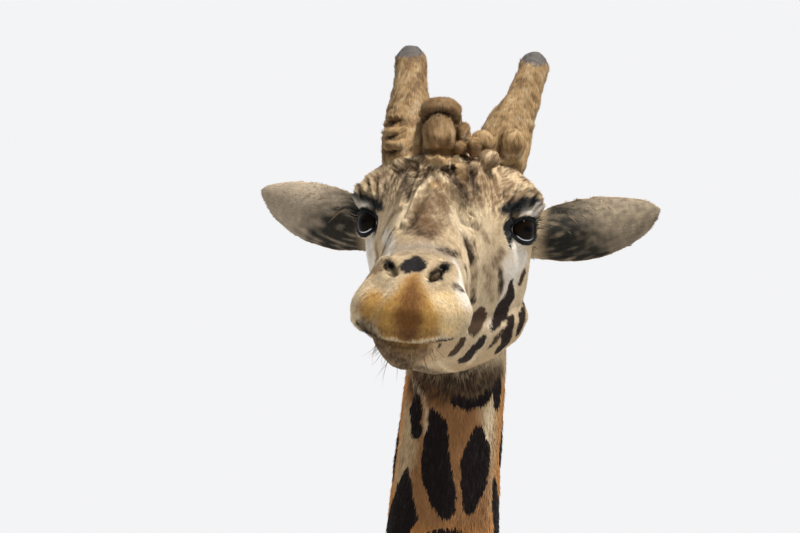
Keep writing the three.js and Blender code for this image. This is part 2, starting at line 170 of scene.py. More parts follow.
def blend(tree, first, second, share, kind="MIX"):
    """Mixes two colours. Each may be an output or a fixed colour."""
    node = add_node(tree, "ShaderNodeMix", data_type="RGBA", blend_type=kind)
    for slot_number, value in ((0, share), (6, first), (7, second)):
        if isinstance(value, (int, float)):
            node.inputs[slot_number].default_value = value
        elif isinstance(value, tuple):
            node.inputs[slot_number].default_value = (*value, 1)
        else:
            tree.links.new(value, node.inputs[slot_number])
    return node.outputs[2]


def attribute(tree, name, output):
    node = add_node(tree, "ShaderNodeAttribute", attribute_name=name)
    return node.outputs[output]


def bumps(tree, shader, height, distance, strength=0.5):
    node = add_node(tree, "ShaderNodeBump")
    node.inputs["Distance"].default_value = distance
    node.inputs["Strength"].default_value = strength
    tree.links.new(height, node.inputs["Height"])
    tree.links.new(node.outputs["Normal"], shader.inputs["Normal"])


def scaled_base(tree, shader, colour, value):
    """Links a colour, made lighter or darker by a value, to the base colour."""
    node = add_node(tree, "ShaderNodeVectorMath", operation="SCALE")
    tree.links.new(colour, node.inputs[0])
    tree.links.new(value, node.inputs["Scale"])
    tree.links.new(node.outputs[0], shader.inputs["Base Color"])


def summed(tree, first, second):
    node = add_node(tree, "ShaderNodeMath", operation="ADD")
    tree.links.new(first, node.inputs[0])
    tree.links.new(second, node.inputs[1])
    return node.outputs[0]


print("node helpers ready")

# %% [markdown]
# ## Camera, floor and light
# A long lens far away flattens the face, as it does when wild animals are watched. The camera
# looks up at the head along the dip of the face. The light is a pale sky, dimmer in front of
# the animal than behind it, with one broad soft lamp high in front and a weaker one behind.

# %% Camera
CAMERA_DISTANCE = 6.5
LENS = 195
SENSOR = 36
VIEW_SHIFT = 0.0702
VIEW_DROP = 0.060
camera_direction = Vector((0, math.cos(HEAD_DIP), math.sin(HEAD_DIP)))
camera_up = Vector((0, -math.sin(HEAD_DIP), math.cos(HEAD_DIP)))
aim = head_origin - Vector((VIEW_SHIFT, 0, 0)) - camera_up * VIEW_DROP
camera_data = bpy.data.cameras.new("camera")
camera_data.lens = LENS
camera_data.sensor_width = SENSOR
camera_data.clip_end = 100
camera = bpy.data.objects.new("camera", camera_data)
camera.location = aim - camera_direction * CAMERA_DISTANCE
camera.rotation_euler = camera_direction.to_track_quat("-Z", "Y").to_euler()
bpy.context.scene.collection.objects.link(camera)
bpy.context.scene.camera = camera
print("camera at", [round(v, 3) for v in camera.location])

# %% Floor and sky
FLOOR_REACH = 30
# Strength of the sky before, behind and above the animal, and the heights and depths of the
# sky's direction over which it changes.
SKY_FRONT, SKY_BEHIND, SKY_TOP = 0.36, 0.93, 0.5
SKY_TURN = (-0.7, 0.5)
SKY_RISE = (0.5, 1.0)

floor_mesh = bmesh.new()
bmesh.ops.create_grid(floor_mesh, x_segments=1, y_segments=1, size=FLOOR_REACH)
floor_data = bpy.data.meshes.new("floor")
floor_mesh.to_mesh(floor_data)
floor_mesh.free()
floor = bpy.data.objects.new("floor", floor_data)
bpy.context.scene.collection.objects.link(floor)
floor_material, _, floor_shader = new_material("pale_floor", 0.9)
floor_shader.inputs["Base Color"].default_value = (0.83, 0.83, 0.84, 1)
floor_data.materials.append(floor_material)

sky = bpy.data.worlds.new("pale_sky")
sky.use_nodes = True
tree = sky.node_tree
sky_shader = tree.nodes["Background"]
sky_shader.inputs["Color"].default_value = (0.97, 0.972, 0.985, 1)
sky_way = add_node(tree, "ShaderNodeTexCoord")
sky_parts = add_node(tree, "ShaderNodeSeparateXYZ")
tree.links.new(sky_way.outputs["Generated"], sky_parts.inputs[0])
ahead = rescale(tree, sky_parts.outputs["Y"], *SKY_TURN, SKY_FRONT, SKY_BEHIND, "SMOOTHSTEP")
above = rescale(tree, sky_parts.outputs["Z"], *SKY_RISE, 0, SKY_TOP, "SMOOTHSTEP")
tree.links.new(summed(tree, ahead, above), sky_shader.inputs["Strength"])
bpy.context.scene.world = sky


def soft_lamp(name, place, size, power):
    lamp_data = bpy.data.lights.new(name, "AREA")
    lamp_data.shape = "DISK"
    lamp_data.size = size
    lamp_data.energy = power
    lamp = bpy.data.objects.new(name, lamp_data)
    lamp.location = place
    lamp.rotation_euler = (head_origin - Vector(place)).to_track_quat("-Z", "Y").to_euler()
    bpy.context.scene.collection.objects.link(lamp)
    print(name, "of", power, "W at", place)


soft_lamp("key_lamp", place=(2.3, -4.1, 9.9), size=2.0, power=640)
soft_lamp("back_lamp", place=(1.0, 6.5, 7.5), size=3.0, power=160)
bpy.context.scene.view_settings.view_transform = "Standard"

# %% [markdown]
# ## One skin
# On the animal one hide covers head, neck, body and legs without a seam, so the separate CAD
# solids become one mesh. Copies of them are grown by a hair's breadth, so that they overlap at
# the cuts, and a voxel remesh melts them together. The head gets small voxels and the body large
# ones. Both are then cut across the upper neck, and `bridge_loops` joins them.

# %% Melting the flesh together
GROW = 0.0008
HEAD_VOXEL = 0.0054
BODY_VOXEL = 0.0199
NECK_CUT = 4.405
NECK_CUT_GAP = 0.012
NECK_OVERLAP = 0.06


def add_flesh(mesh, name, above=None, grow=GROW):
    """Adds a merged, slightly grown copy of a CAD node to a bmesh."""
    piece = bmesh.new()
    piece.from_mesh(nodes[name].data)
    bmesh.ops.remove_doubles(piece, verts=piece.verts, dist=1e-5)
    if above is not None:
        geometry = piece.verts[:] + piece.edges[:] + piece.faces[:]
        cut = bmesh.ops.bisect_plane(
            piece, geom=geometry, plane_co=(0, 0, above), plane_no=(0, 0, 1), clear_inner=True
        )
        rim = [e for e in cut["geom_cut"] if isinstance(e, bmesh.types.BMEdge)]
        bmesh.ops.contextual_create(piece, geom=rim)
    piece.normal_update()
    for vertex in piece.verts:
        vertex.co += vertex.normal * grow
    copy = bpy.data.meshes.new("copy")
    piece.to_mesh(copy)
    piece.free()
    mesh.from_mesh(copy)
    bpy.data.meshes.remove(copy)


BALL_SEGMENTS = (20, 12)


def add_ball(mesh, centre, radii):
    """An ellipsoid in the head's frame, in millimetres."""
    axes = Matrix(HEAD_AXES.tolist()).to_4x4() @ Matrix.Diagonal((*(r / 1000 for r in radii), 1))
    axes.translation = Vector(from_head([centre])[0])
    u_segments, v_segments = BALL_SEGMENTS
    bmesh.ops.create_uvsphere(
        mesh, u_segments=u_segments, v_segments=v_segments, radius=1, matrix=axes
    )


def add_piece(name, mesh, slot_name, *replaced):
    """Puts a mesh in the scene as a piece on the root, standing for the replaced nodes."""
    mesh.name = name
    mesh.polygons.foreach_set("use_smooth", np.ones(len(mesh.polygons), bool))
    piece = bpy.data.objects.new(name, mesh)
    bpy.context.scene.collection.objects.link(piece)
    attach(piece, "root")
    if replaced:
        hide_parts(*replaced)
    return piece


def remeshed(mesh, name, voxel):
    """The bmesh as one voxel-remeshed object's mesh. The bmesh is freed."""
    data = bpy.data.meshes.new(name)
    mesh.to_mesh(data)
    mesh.free()
    block = bpy.data.objects.new(name, data)
    bpy.context.scene.collection.objects.link(block)
    remesh = block.modifiers.new("melt", "REMESH")
    remesh.mode = "VOXEL"
    remesh.voxel_size = voxel
    remesh.use_smooth_shade = True
    settled = block.evaluated_get(bpy.context.evaluated_depsgraph_get())
    result = bpy.data.meshes.new_from_object(settled)
    bpy.data.objects.remove(block)
    bpy.data.meshes.remove(data)
    return result


EAR_GROW = 0.0042
HEAD_FLESH = ["head", "lower_jaw", "ear_left", "ear_right", "eye_left", "eye_right"]
LEG_FLESH = ["foreleg_left", "foreleg_right", "hindleg_left", "hindleg_right"]
BODY_FLESH = ["neck", "trunk", "tail"] + LEG_FLESH

# Knobs of bone on the forehead between the boss and the nose: (x, forward, up) and radii.
HEAD_BALLS = [
    ((25, 139, 93), (9, 12, 11)),
    ((33, 151, 79), (9, 12, 12)),
    ((50, 136, 84), (7, 10, 12)),
    ((-13, 152, 93), (9, 10, 7)),
    ((0, 157, 96), (10, 10, 8)),
    ((12, 153, 94), (9, 10, 7)),
    ((2, 176, 72), (16, 15, 12)),
    ((-10, 186, 60), (11, 13, 12)),
    ((15, 182, 60), (11, 13, 12)),
    ((-36, 128, 94), (8, 11, 9)),
    ((-21, 140, 100), (8, 10, 8)),
    ((-61, 92, 84), (17, 14, 14)),
    ((66, 72, 100), (16, 14, 12)),
]

head_flesh = bmesh.new()
for name in HEAD_FLESH:
    add_flesh(head_flesh, name, grow=EAR_GROW if name.startswith("ear") else GROW)
add_flesh(head_flesh, "neck", above=NECK_CUT - NECK_OVERLAP)
for centre, radii in HEAD_BALLS:
    add_ball(head_flesh, centre, radii)
head_skin = remeshed(head_flesh, "head_skin", HEAD_VOXEL)

body_flesh = bmesh.new()
for name in BODY_FLESH:
    add_flesh(body_flesh, name)
body_skin = remeshed(body_flesh, "body_skin", BODY_VOXEL)
print("head:", len(head_skin.polygons), "quads, body:", len(body_skin.polygons), "quads")

# %% [markdown]
# ## Smoothing the melt
# The remesh keeps the flat facets of the CAD solids. Averaging each corner with its neighbours
# rounds them, but it also shrinks thin parts, so every smoothing step is followed by a slightly
# stronger step the other way. The neck and trunk are smoothed hard, the head and legs gently,
# because their form lies in small shapes.

# %% Smoothing
SMOOTH_STEP = 0.5
UNSHRINK_STEP = -0.53


def points_of(mesh):
    points = np.empty(len(mesh.vertices) * 3)
    mesh.vertices.foreach_get("co", points)
    return points.reshape(-1, 3)


def set_points(mesh, points):
    mesh.vertices.foreach_set("co", np.ascontiguousarray(points, float).ravel())
    mesh.update()


def normals_of(mesh):
    normals = np.empty(len(mesh.vertices) * 3)
    mesh.vertices.foreach_get("normal", normals)
    return normals.reshape(-1, 3)


def edges_of(mesh):
    edges = np.empty(len(mesh.edges) * 2, int)
    mesh.edges.foreach_get("vertices", edges)
    return edges.reshape(-1, 2)


def neighbour_mean(values, edges):
    """The mean over each corner's neighbours, for an array with one row per corner."""
    count = np.bincount(edges.ravel(), minlength=len(values))[:, None]
    total = np.stack(
        [
            np.bincount(edges[:, 0], column[edges[:, 1]], len(values))
            + np.bincount(edges[:, 1], column[edges[:, 0]], len(values))
            for column in values.T
        ],
        axis=1,
    )
    return total / np.maximum(count, 1)


def smoothed(points, edges, weight, rounds):
    weight = weight[:, None]
    for step in [SMOOTH_STEP, UNSHRINK_STEP] * rounds:
        points = points + (neighbour_mean(points, edges) - points) * weight * step
    return points


def ramp(values, low, high):
    """0 below low, 1 above high, and a smooth step between."""
    share = np.clip((values - low) / (high - low), 0, 1)
    return share * share * (3 - 2 * share)


def unit(vectors):
    return vectors / np.maximum(np.linalg.norm(vectors, axis=1, keepdims=True), 1e-9)


def laid(way, facing):
    """The ways pressed flat onto a surface, at length 1."""
    return unit(way - (way * facing).sum(1)[:, None] * facing)


head_points = points_of(head_skin)
local = to_head(head_points)
on_neck = ramp(-over_throat(local), 230, 330)
on_ear = ramp(np.abs(local[:, 0]), 120, 150) * ramp(-local[:, 1], 20, 50)
head_weight = 0.22 + 0.78 * np.maximum(on_neck, on_ear)
head_points = smoothed(head_points, edges_of(head_skin), head_weight, 36)
set_points(head_skin, head_points)

body_points = points_of(body_skin)
on_leg = 1 - ramp(body_points[:, 2], 1.55, 2.05)
body_weight = 1 - 0.75 * on_leg
body_points = smoothed(body_points, edges_of(body_skin), body_weight, 30)
set_points(body_skin, body_points)
print("smoothed", len(head_points), "and", len(body_points), "corners")

# %% [markdown]
# ## Joining head and body
# Each half is cut by a level plane across the upper neck, the body a little lower than the head,
# and the two open rims are bridged with a band of faces. Loose crumbs of the remesh are dropped.

# %% One skin
skin_mesh = bmesh.new()


def cut_neck(mesh, height, keep_above):
    half = bmesh.new()
    half.from_mesh(mesh)
    bmesh.ops.bisect_plane(
        half,
        geom=half.verts[:] + half.edges[:] + half.faces[:],
        dist=1e-5,
        plane_co=(0, 0, height),
        plane_no=(0, 0, 1),
        clear_inner=keep_above,
        clear_outer=not keep_above,
    )
    half.to_mesh(mesh)
    half.free()


cut_neck(head_skin, NECK_CUT, True)
cut_neck(body_skin, NECK_CUT - NECK_CUT_GAP, False)
skin_mesh.from_mesh(head_skin)
skin_mesh.from_mesh(body_skin)
rims = [edge for edge in skin_mesh.edges if edge.is_boundary]
print("rim edges to bridge:", len(rims))
bmesh.ops.bridge_loops(skin_mesh, edges=rims)
bmesh.ops.triangulate(skin_mesh, faces=[f for f in skin_mesh.faces if len(f.verts) > 4])
print("open edges left:", sum(1 for edge in skin_mesh.edges if not edge.is_manifold))


def largest_island(mesh):
    seen = set()
    islands = []
    for start in mesh.verts:
        if start in seen:
            continue
        island = [start]
        seen.add(start)
        for vertex in island:
            for edge in vertex.link_edges:
                other = edge.other_vert(vertex)
                if other not in seen:
                    seen.add(other)
                    island.append(other)
        islands.append(island)
    islands.sort(key=len)
    crumbs = [vertex for island in islands[:-1] for vertex in island]
    bmesh.ops.delete(mesh, geom=crumbs, context="VERTS")
    return len(islands)


print("islands:", largest_island(skin_mesh))

# %% [markdown]
# ## Finer mesh where the face needs it
# Eyelids, nostrils and the folds of the forehead are smaller than the voxels. `subdivide_edges`
# with grid fill splits only the faces there: once over forehead and muzzle, twice round the eyes
# and nostrils, which keeps the whole skin under 200,000 triangles.

# %% Local subdivision
EYE_OUT = {side: np.array((side * 108.0, 10.0, 0.0)) for side in (1, -1)}
NOSTRIL_OUT = {1: np.array((37.0, 397.0, -67.0)), -1: np.array((-33.0, 392.0, -64.0))}
# Centre and radii, in the head's frame, of the places that are split once.
FINE_PLACES = [
    ((0, 150, 60), (100, 110, 62)),
    ((0, 420, -110), (110, 75, 85)),
    ((104, 20, 20), (62, 52, 46)),
    ((-104, 20, 20), (62, 52, 46)),
]
EYE_SPLIT = 41
NOSTRIL_SPLIT = 21


def split_edges(mesh, inside):
    """Splits the edges both of whose ends are inside, given as a mask over the corners."""
    mesh.verts.ensure_lookup_table()
    mesh.verts.index_update()
    chosen = [e for e in mesh.edges if inside[e.verts[0].index] and inside[e.verts[1].index]]
    bmesh.ops.subdivide_edges(mesh, edges=chosen, cuts=1, use_grid_fill=True)
    return len(chosen)


def places_in_head(mesh):
    return to_head([vertex.co for vertex in mesh.verts])


where = places_in_head(skin_mesh)
inside = np.zeros(len(where), bool)
for centre, radii in FINE_PLACES:
    inside |= (((where - centre) / radii) ** 2).sum(1) < 1
print("edges split once:", split_edges(skin_mesh, inside))
where = places_in_head(skin_mesh)
inside = np.zeros(len(where), bool)
for side in (1, -1):
    inside |= np.linalg.norm(where - EYE_OUT[side], axis=1) < EYE_SPLIT
    inside |= np.linalg.norm(where - NOSTRIL_OUT[side], axis=1) < NOSTRIL_SPLIT
print("edges split again:", split_edges(skin_mesh, inside))
bmesh.ops.triangulate(skin_mesh, faces=[f for f in skin_mesh.faces if len(f.verts) > 4])

skin_data = bpy.data.meshes.new("skin")
skin_mesh.to_mesh(skin_data)
skin_mesh.free()
skin_data.calc_loop_triangles()
print("skin triangles:", len(skin_data.loop_triangles))

# %% [markdown]
# ## Folds, lumps and muscles
# The voxels give only the broad form. What makes a giraffe's face old and gentle is smaller: a
# fold that arches over the root of the nose, bony lumps at the feet of the horns, furrows over
# the eyes, lips with a heavy rim. Each is a soft push along the skin's normal, either round a
# point or along a line, so the whole list can be read and changed like a sculptor's notes.

# %% Pushing the skin
skin_points = points_of(skin_data)


def nearest_on_line(points, line):
    """The nearest place to each point on a line of straight pieces, and how far away it is.

    A row of the line may carry more numbers than a place, such as a radius; they come along."""
    line = np.asarray(line, float)
    size = points.shape[1]
    best = np.full(len(points), np.inf)
    found = np.zeros((len(points), line.shape[1]))
    for start, end in zip(line[:-1], line[1:]):
        along = end[:size] - start[:size]
        share = np.clip((points - start[:size]) @ along / max(along @ along, 1e-9), 0, 1)[:, None]
        place = start + share * (end - start)
        gap = np.linalg.norm(points - place[:, :size], axis=1)
        closer = gap < best
        best[closer] = gap[closer]
        found[closer] = place[closer]
    return found, best


def line_distance(points, line):
    return nearest_on_line(points, line)[1]


def lump(where, centre, reach, height, axis=None, stretch=1):
    """A round swelling, or one that is longer along an axis. A negative height is a hollow."""
    offset = where - np.asarray(centre, float)
    square = (offset**2).sum(1)
    if axis is not None:
        axis = np.asarray(axis, float)
        run = offset @ (axis / np.linalg.norm(axis))
        square = square - run**2 + (run / stretch) ** 2
    return height * np.exp(-square / reach**2)


def fold(where, line, width, height, shoulder=0.0):
    """A ridge along a line. A negative height is a furrow, and a shoulder raises its banks."""
    gap = line_distance(where, line)
    bank = np.exp(-(((gap - 2 * width) / width) ** 2))
    return height * (np.exp(-((gap / width) ** 2)) - shoulder * bank)


def mirrored(entries):
    """The entries and their twins on the animal's other side."""
    twins = [((-place[0], *place[1:]), *rest) for place, *rest in entries]
    return entries + twins


def mirrored_lines(entries):
    return entries + [([(-x, *rest) for x, *rest in line], *more) for line, *more in entries]


# %% Body: bones and muscles under the coat
# Centre, reach and height in metres, then an axis and how much longer it is along it.
BODY_LUMPS = mirrored(
    [
        ((0.27, -0.30, 2.26), 0.10, 0.018, None, 1),
        ((0.25, -0.10, 2.62), 0.11, 0.014, (0.1, -0.35, -1), 2.2),
        ((0.29, 0.05, 1.88), 0.07, 0.014, None, 1),
        ((0.22, 0.93, 2.60), 0.07, 0.024, (0, 1, -0.4), 1.5),
        ((0.30, 0.80, 2.28), 0.15, -0.026, (0, 0.2, 1), 1.6),
        ((0.33, 0.98, 1.98), 0.12, 0.016, None, 1),
        ((0.25, 1.08, 2.15), 0.13, 0.016, (0, 0.3, 1), 1.8),
        ((0.17, 1.26, 2.30), 0.08, 0.014, None, 1),
        ((0.32, 0.28, 2.15), 0.22, 0.012, None, 1),
        ((0.19, -0.13, 1.03), 0.05, 0.010, None, 1),
        ((0.20, 0.06, 0.98), 0.035, 0.008, None, 1),
        ((0.19, 1.27, 1.09), 0.05, 0.020, (0, 0.2, 1), 1.8),
        ((0.15, 1.16, 0.98), 0.04, 0.006, None, 1),
        ((0.19, -0.10, 0.33), 0.035, 0.006, None, 1),
        ((0.20, 1.20, 0.33), 0.035, 0.006, None, 1),
    ]
)
BODY_FOLDS = mirrored_lines(
    [
        ([(0.10, -0.02, 2.98), (0.24, -0.14, 2.60), (0.31, -0.27, 2.26)], 0.055, 0.012),
        (
            [(0.07, -0.95, 4.60), (0.11, -0.68, 3.80), (0.16, -0.42, 3.10), (0.2, -0.36, 2.7)],
            0.05,
            -0.012,
        ),
        ([(0.04, -0.98, 4.60), (0.07, -0.76, 3.80), (0.1, -0.56, 3.10), (0.1, -0.5, 2.6)], 0.04, 0.008),
        ([(0.19, 1.21, 0.95), (0.19, 1.20, 0.40)], 0.014, 0.004),
        ([(0.19, -0.03, 0.88), (0.19, -0.03, 0.40)], 0.014, 0.004),
        ([(0.33, 0.62, 2.05), (0.30, 0.80, 2.0), (0.27, 0.92, 1.86)], 0.035, 0.012),
        ([(0.20, 1.12, 1.85), (0.20, 1.18, 1.50), (0.19, 1.24, 1.15)], 0.03, 0.010),
        ([(0.25, 1.02, 1.70), (0.23, 1.10, 1.40), (0.22, 1.17, 1.15)], 0.022, -0.008),
        ([(0.26, -0.13, 1.80), (0.23, -0.10, 1.45), (0.22, -0.08, 1.15)], 0.022, -0.006),
    ]
)

# The push is made along the normals of the untouched skin, all at once.
def body_push(points):
    push = np.zeros(len(points))
    for place, reach, height, axis, stretch in BODY_LUMPS:
        push += lump(points, place, reach, height, axis, stretch)
    for line, width, height in BODY_FOLDS:
        push += fold(points, line, width, height)
    return push


# %% Head: folds of the forehead, nose and lips
# The same in the head's frame and in millimetres: centre, reach, height, axis, stretch.
HEAD_LUMPS = [
    # boss, arch over the nose and the lumps beside it
    ((5, 160, 86), 17, 5, (1, 0, -0.1), 1.5),
    ((-22, 120, 100), 9, 6, (1, 0, 0), 1.3),
    ((6, 116, 106), 20, -9, (1, 0, 0), 1.5),
    ((36, 146, 80), 10, 8, (0.5, 0.3, -0.8), 2.0),
    ((56, 118, 92), 9, 6, (0.3, 0, -1), 1.8),
    ((50, 160, 58), 8, 5, (0.5, 0.3, -0.9), 2.2),
    ((60, 60, 110), 22, 7, None, 1),
    ((122, 48, 68), 26, 9, None, 1),
    ((98, 24, 104), 24, 7, None, 1),
    ((-78, 40, 104), 24, 7, None, 1),
    ((-52, 76, 96), 14, 5, None, 1),
    ((0, 205, 42), 26, 3, (0, 1, -0.5), 1.6),
    # brows
    ((128, 8, 40), 22, 5, (0.2, 1, 0), 1.2),
    ((-124, 10, 40), 22, 5, (0.2, 1, 0), 1.2),
    # hollow towards the inner corner of each eye
    ((106, 62, -2), 17, -9, (0, 1, 0), 1.4),
    ((-106, 62, -2), 17, -9, (0, 1, 0), 1.4),
    # under the eyes, and the long hollow before the cheek
    ((112, 30, -38), 22, 4, (0, 1, 0), 1.6),
    ((-112, 30, -38), 22, 4, (0, 1, 0), 1.6),
    ((84, 130, -95), 34, -5, (0, 1, 0.2), 1.8),
    ((-84, 130, -95), 34, -5, (0, 1, 0.2), 1.8),
    ((104, -60, -130), 44, 5, None, 1),
    ((-104, -60, -130), 44, 5, None, 1),
    # rims of the nostrils and the pad between them
    ((48, 386, -60), 13, 6, (0.4, -1, 0.3), 1.6),
    ((-46, 380, -56), 13, 6, (0.4, 1, -0.3), 1.6),
    ((20, 402, -62), 10, 4, (0.3, -1, 0.4), 1.5),
    ((-18, 400, -60), 10, 4, (0.3, 1, -0.4), 1.5),
    ((0, 398, -58), 12, -2, (0, 1, -0.6), 1.6),
    # lips: a full middle, a dent on each side of it, and heavy corners
    ((4, 452, -112), 34, 5, (0, -0.2, 1), 1.3),
    ((-46, 428, -90), 13, -6, (0.6, 0, -1), 1.6),
    ((45, 428, -98), 13, -6, (-0.5, 0, -1), 1.6),
    ((-66, 430, -122), 22, 4, None, 1),
    ((74, 420, -126), 24, 4, None, 1),
    ((-8, 420, -176), 24, 5, (1, 0, 0), 1.6),
    ((-4, 385, -196), 22, 4, None, 1),
    ((-74, 400, -176), 20, -9, (0, 1, 0), 1.4),
    ((-62, 400, -200), 24, -10, (0, 1, 0), 1.4),
    ((56, 400, -198), 22, -8, (0, 1, 0), 1.4),
]
# A line in the head's frame, its width, height and the height of its banks.
HEAD_FOLDS = [
    # the arch
    (
        [
            (-34, 258, 2), (-28, 222, 26), (-17, 190, 54), (4, 172, 74), (26, 182, 56),
            (42, 196, 30), (54, 206, 6),
        ],
        5.5,
        7.5,
        0.6,
    ),
    ([(-24, 165, 76), (0, 156, 90), (24, 158, 84)], 4.5, 4, 0.6),
    ([(-30, 140, 92), (-4, 138, 98), (20, 140, 96)], 4, -4, 0.2),
    ([(62, 190, 34), (50, 165, 62), (44, 140, 84)], 5, -7, 0.4),
    ([(-44, 200, 34), (-38, 170, 62), (-34, 140, 84)], 5, -7, 0.4),
    # from the arch down the side of the nose
    ([(54, 206, 6), (60, 224, -14), (66, 234, -44), (68, 226, -78), (66, 200, -106)], 8, 7, 0.4),
    ([(-34, 258, 2), (-46, 262, -22), (-58, 256, -60)], 8, 5, 0.4),
    # furrows fanning over the brows
    ([(88, 70, 22), (104, 52, 44), (112, 28, 66)], 3.2, -4.6, 0.5),
    ([(96, 66, 20), (114, 44, 40), (124, 18, 60)], 3.2, -4.6, 0.5),
    ([(104, 58, 20), (124, 34, 36), (136, 8, 52)], 3.2, -4.6, 0.5),
    ([(80, 82, 26), (92, 66, 50), (98, 44, 74)], 3.2, -4, 0.5),
    ([(-88, 70, 20), (-100, 54, 42), (-106, 30, 66)], 3.2, -4.6, 0.5),
    ([(-96, 66, 18), (-112, 46, 38), (-120, 20, 60)], 3.2, -4.6, 0.5),
    ([(-104, 58, 18), (-122, 36, 34), (-132, 10, 50)], 3.2, -4.6, 0.5),
    ([(-80, 82, 24), (-90, 68, 48), (-94, 46, 72)], 3.2, -4, 0.5),
    # bags under the eyes
    ([(92, 62, -12), (112, 46, -26), (134, 18, -28), (146, -8, -18)], 4, -2.5, 0.8),
    ([(-92, 62, -16), (-112, 46, -30), (-134, 18, -32), (-146, -8, -22)], 4, -2.5, 0.8),
    # rim of the upper lip, and the cleft of the mouth under it
    (
        [
            (-84, 372, -138), (-78, 408, -138), (-62, 438, -148), (-36, 448, -158), (4, 448, -162),
            (46, 438, -157), (72, 418, -150), (78, 380, -146),
        ],
        6,
        4,
        0.0,
    ),
    (
        [
            (-80, 340, -150), (-76, 400, -148), (-58, 428, -158), (-34, 438, -167), (4, 436, -171),
            (44, 428, -167), (68, 410, -160), (72, 370, -156), (74, 300, -155),
        ],
        4,
        -9,
        0.2,
    ),
]


def head_push(where):
    push = np.zeros(len(where))
    for place, reach, height, axis, stretch in HEAD_LUMPS:
        push += lump(where, place, reach, height, axis, stretch)
    for line, width, height, shoulder in HEAD_FOLDS:
        push += fold(where, line, width, height, shoulder)
    return push / 1000


# %% Pushing
where = to_head(skin_points)
near_head = ramp(-np.linalg.norm(where - (0, 120, -40), axis=1), -480, -400)
push = body_push(skin_points) * (1 - near_head) + head_push(where) * near_head
skin_points = skin_points + normals_of(skin_data) * push[:, None]
set_points(skin_data, skin_points)
print("largest push out and in:", round(push.max(), 4), round(push.min(), 4))

# %% [markdown]
# ## Making room for the coat
# The CAD outline is where the tips of the hair end. The skin therefore sinks along its normals by
# the depth of the coat, which is a few millimetres on the face and more on the body. The same
# rule, how long the hair is at a place, later sizes the tufts.

# %% Hair length and depth
COAT_LEAN = 0.26
MUZZLE_HAIR = 0.0055
FACE_HAIR = 0.0072
EAR_HAIR = 0.0060
NECK_HAIR = 0.013
BODY_HAIR = 0.026
LEG_HAIR = 0.017


def ear_share(where):
    """How far out on an ear a place lies: 0 on the head, 1 at the tip."""
    near = ramp(where[:, 2], -150, -110) * ramp(-where[:, 1], 20, 50)
    return ramp(np.abs(where[:, 0]), 118, 150) * near


def hair_length(points, where):
    """The length of the hair at each place, given in the world and in the head's frame."""
    along = ramp(where[:, 1], 180, 380)
    face = FACE_HAIR + (MUZZLE_HAIR - FACE_HAIR) * along
    face = face + (EAR_HAIR - face) * ear_share(where)
    legs = ramp(-points[:, 2], -1.9, -0.9)
    body = BODY_HAIR + (LEG_HAIR - BODY_HAIR) * legs
    body = body + (NECK_HAIR - body) * ramp(points[:, 2], 3.2, 4.5)
    on_head = ramp(over_throat(where), -270, -190)
    return body + (face - body) * on_head


skin_points = points_of(skin_data)
hair = hair_length(skin_points, to_head(skin_points))
inset = (hair * COAT_LEAN + 0.0003) * (1 + 0.6 * ear_share(to_head(skin_points)))
skin_points = skin_points - normals_of(skin_data) * inset[:, None]
ear_weight = ramp(ear_share(to_head(skin_points)), 0.1, 0.6)
skin_points = smoothed(skin_points, edges_of(skin_data), ear_weight, 90)
print("hair from", hair.min(), "to", hair.max())

# %% [markdown]
# ## Eyelids
# A giraffe's eye is a wet ball behind two thick black lids. The opening is drawn in degrees on
# a sphere round the eyeball, from the inner corner to the outer one. Skin inside that outline
# drops behind the eyeball, skin on it becomes the edge of the lid, and skin outside eases back
# to the face. Corners that lie close to the outline are slid onto it, so the edge is clean.

# %% Lids
EYEBALL_RADIUS = 26.0
LID_RADIUS = 28.6
LID_REACH = 17
EYE_FACING = (0.72, 0.69, 0.05)
# Half the opening's width, and how far it opens up and down, in degrees.
LID_WIDE, LID_UP, LID_DOWN = 64, 34, 43
# In mm: how near a corner has to be to slide onto the edge, how far the skin drops behind the
# eyeball, and the place, width and depth of the crease above the lid and the pouch below it.
LID_GRAB = 0.8
LID_DROP = 7.5
LID_CREASE = (9.5, 2.2, 2.4)
LID_POUCH = (10, 2.5, 1.4)


def lid_arch(run):
    return (1 - np.abs(run) ** 2.3) ** 0.75


lid_run = np.linspace(-1, 1, 33)
UPPER_LID = np.stack([LID_WIDE * lid_run, LID_UP * lid_arch(lid_run)], axis=1)
LOWER_LID = np.stack([LID_WIDE * lid_run, -LID_DOWN * lid_arch(lid_run)], axis=1)
LID_OUTLINE = np.concatenate([UPPER_LID, LOWER_LID[::-1]])


def eye_axes(side):
    """Out of the eye, towards its inner corner, and up."""
    out = unit([(side * EYE_FACING[0], *EYE_FACING[1:])])[0]
    inner = (-side * out[1], side * out[0], 0.0)
    rise = np.array((0, 0, 1.0)) - out * out[2]
    return out, *unit([inner, rise])


def lid_angles(where, side):
    """Degrees towards the inner corner and up, and the distance from the eyeball's centre."""
    out, inner, rise = eye_axes(side)
    offset = where - EYE_OUT[side]
    far = np.linalg.norm(offset, axis=1)
    across = np.degrees(np.arctan2(offset @ inner, offset @ out))
    above = np.degrees(np.arcsin(np.clip(offset @ rise / np.maximum(far, 1e-6), -1, 1)))
    return np.stack([across, above], axis=1), far


def lid_gap(angles):
    """Millimetres from the edge of the lids, below 0 over the eyeball, and the nearest edge."""
    edge, gap = nearest_on_line(angles, LID_OUTLINE)
    run = np.clip(np.abs(angles[:, 0]) / LID_WIDE, 0, 1)
    limit = np.where(angles[:, 1] > 0, LID_UP, LID_DOWN) * lid_arch(run)
    open_here = (np.abs(angles[:, 1]) < limit) & (np.abs(angles[:, 0]) < LID_WIDE)
    gap = gap * math.radians(1) * LID_RADIUS
    return np.where(open_here, -gap, gap), edge


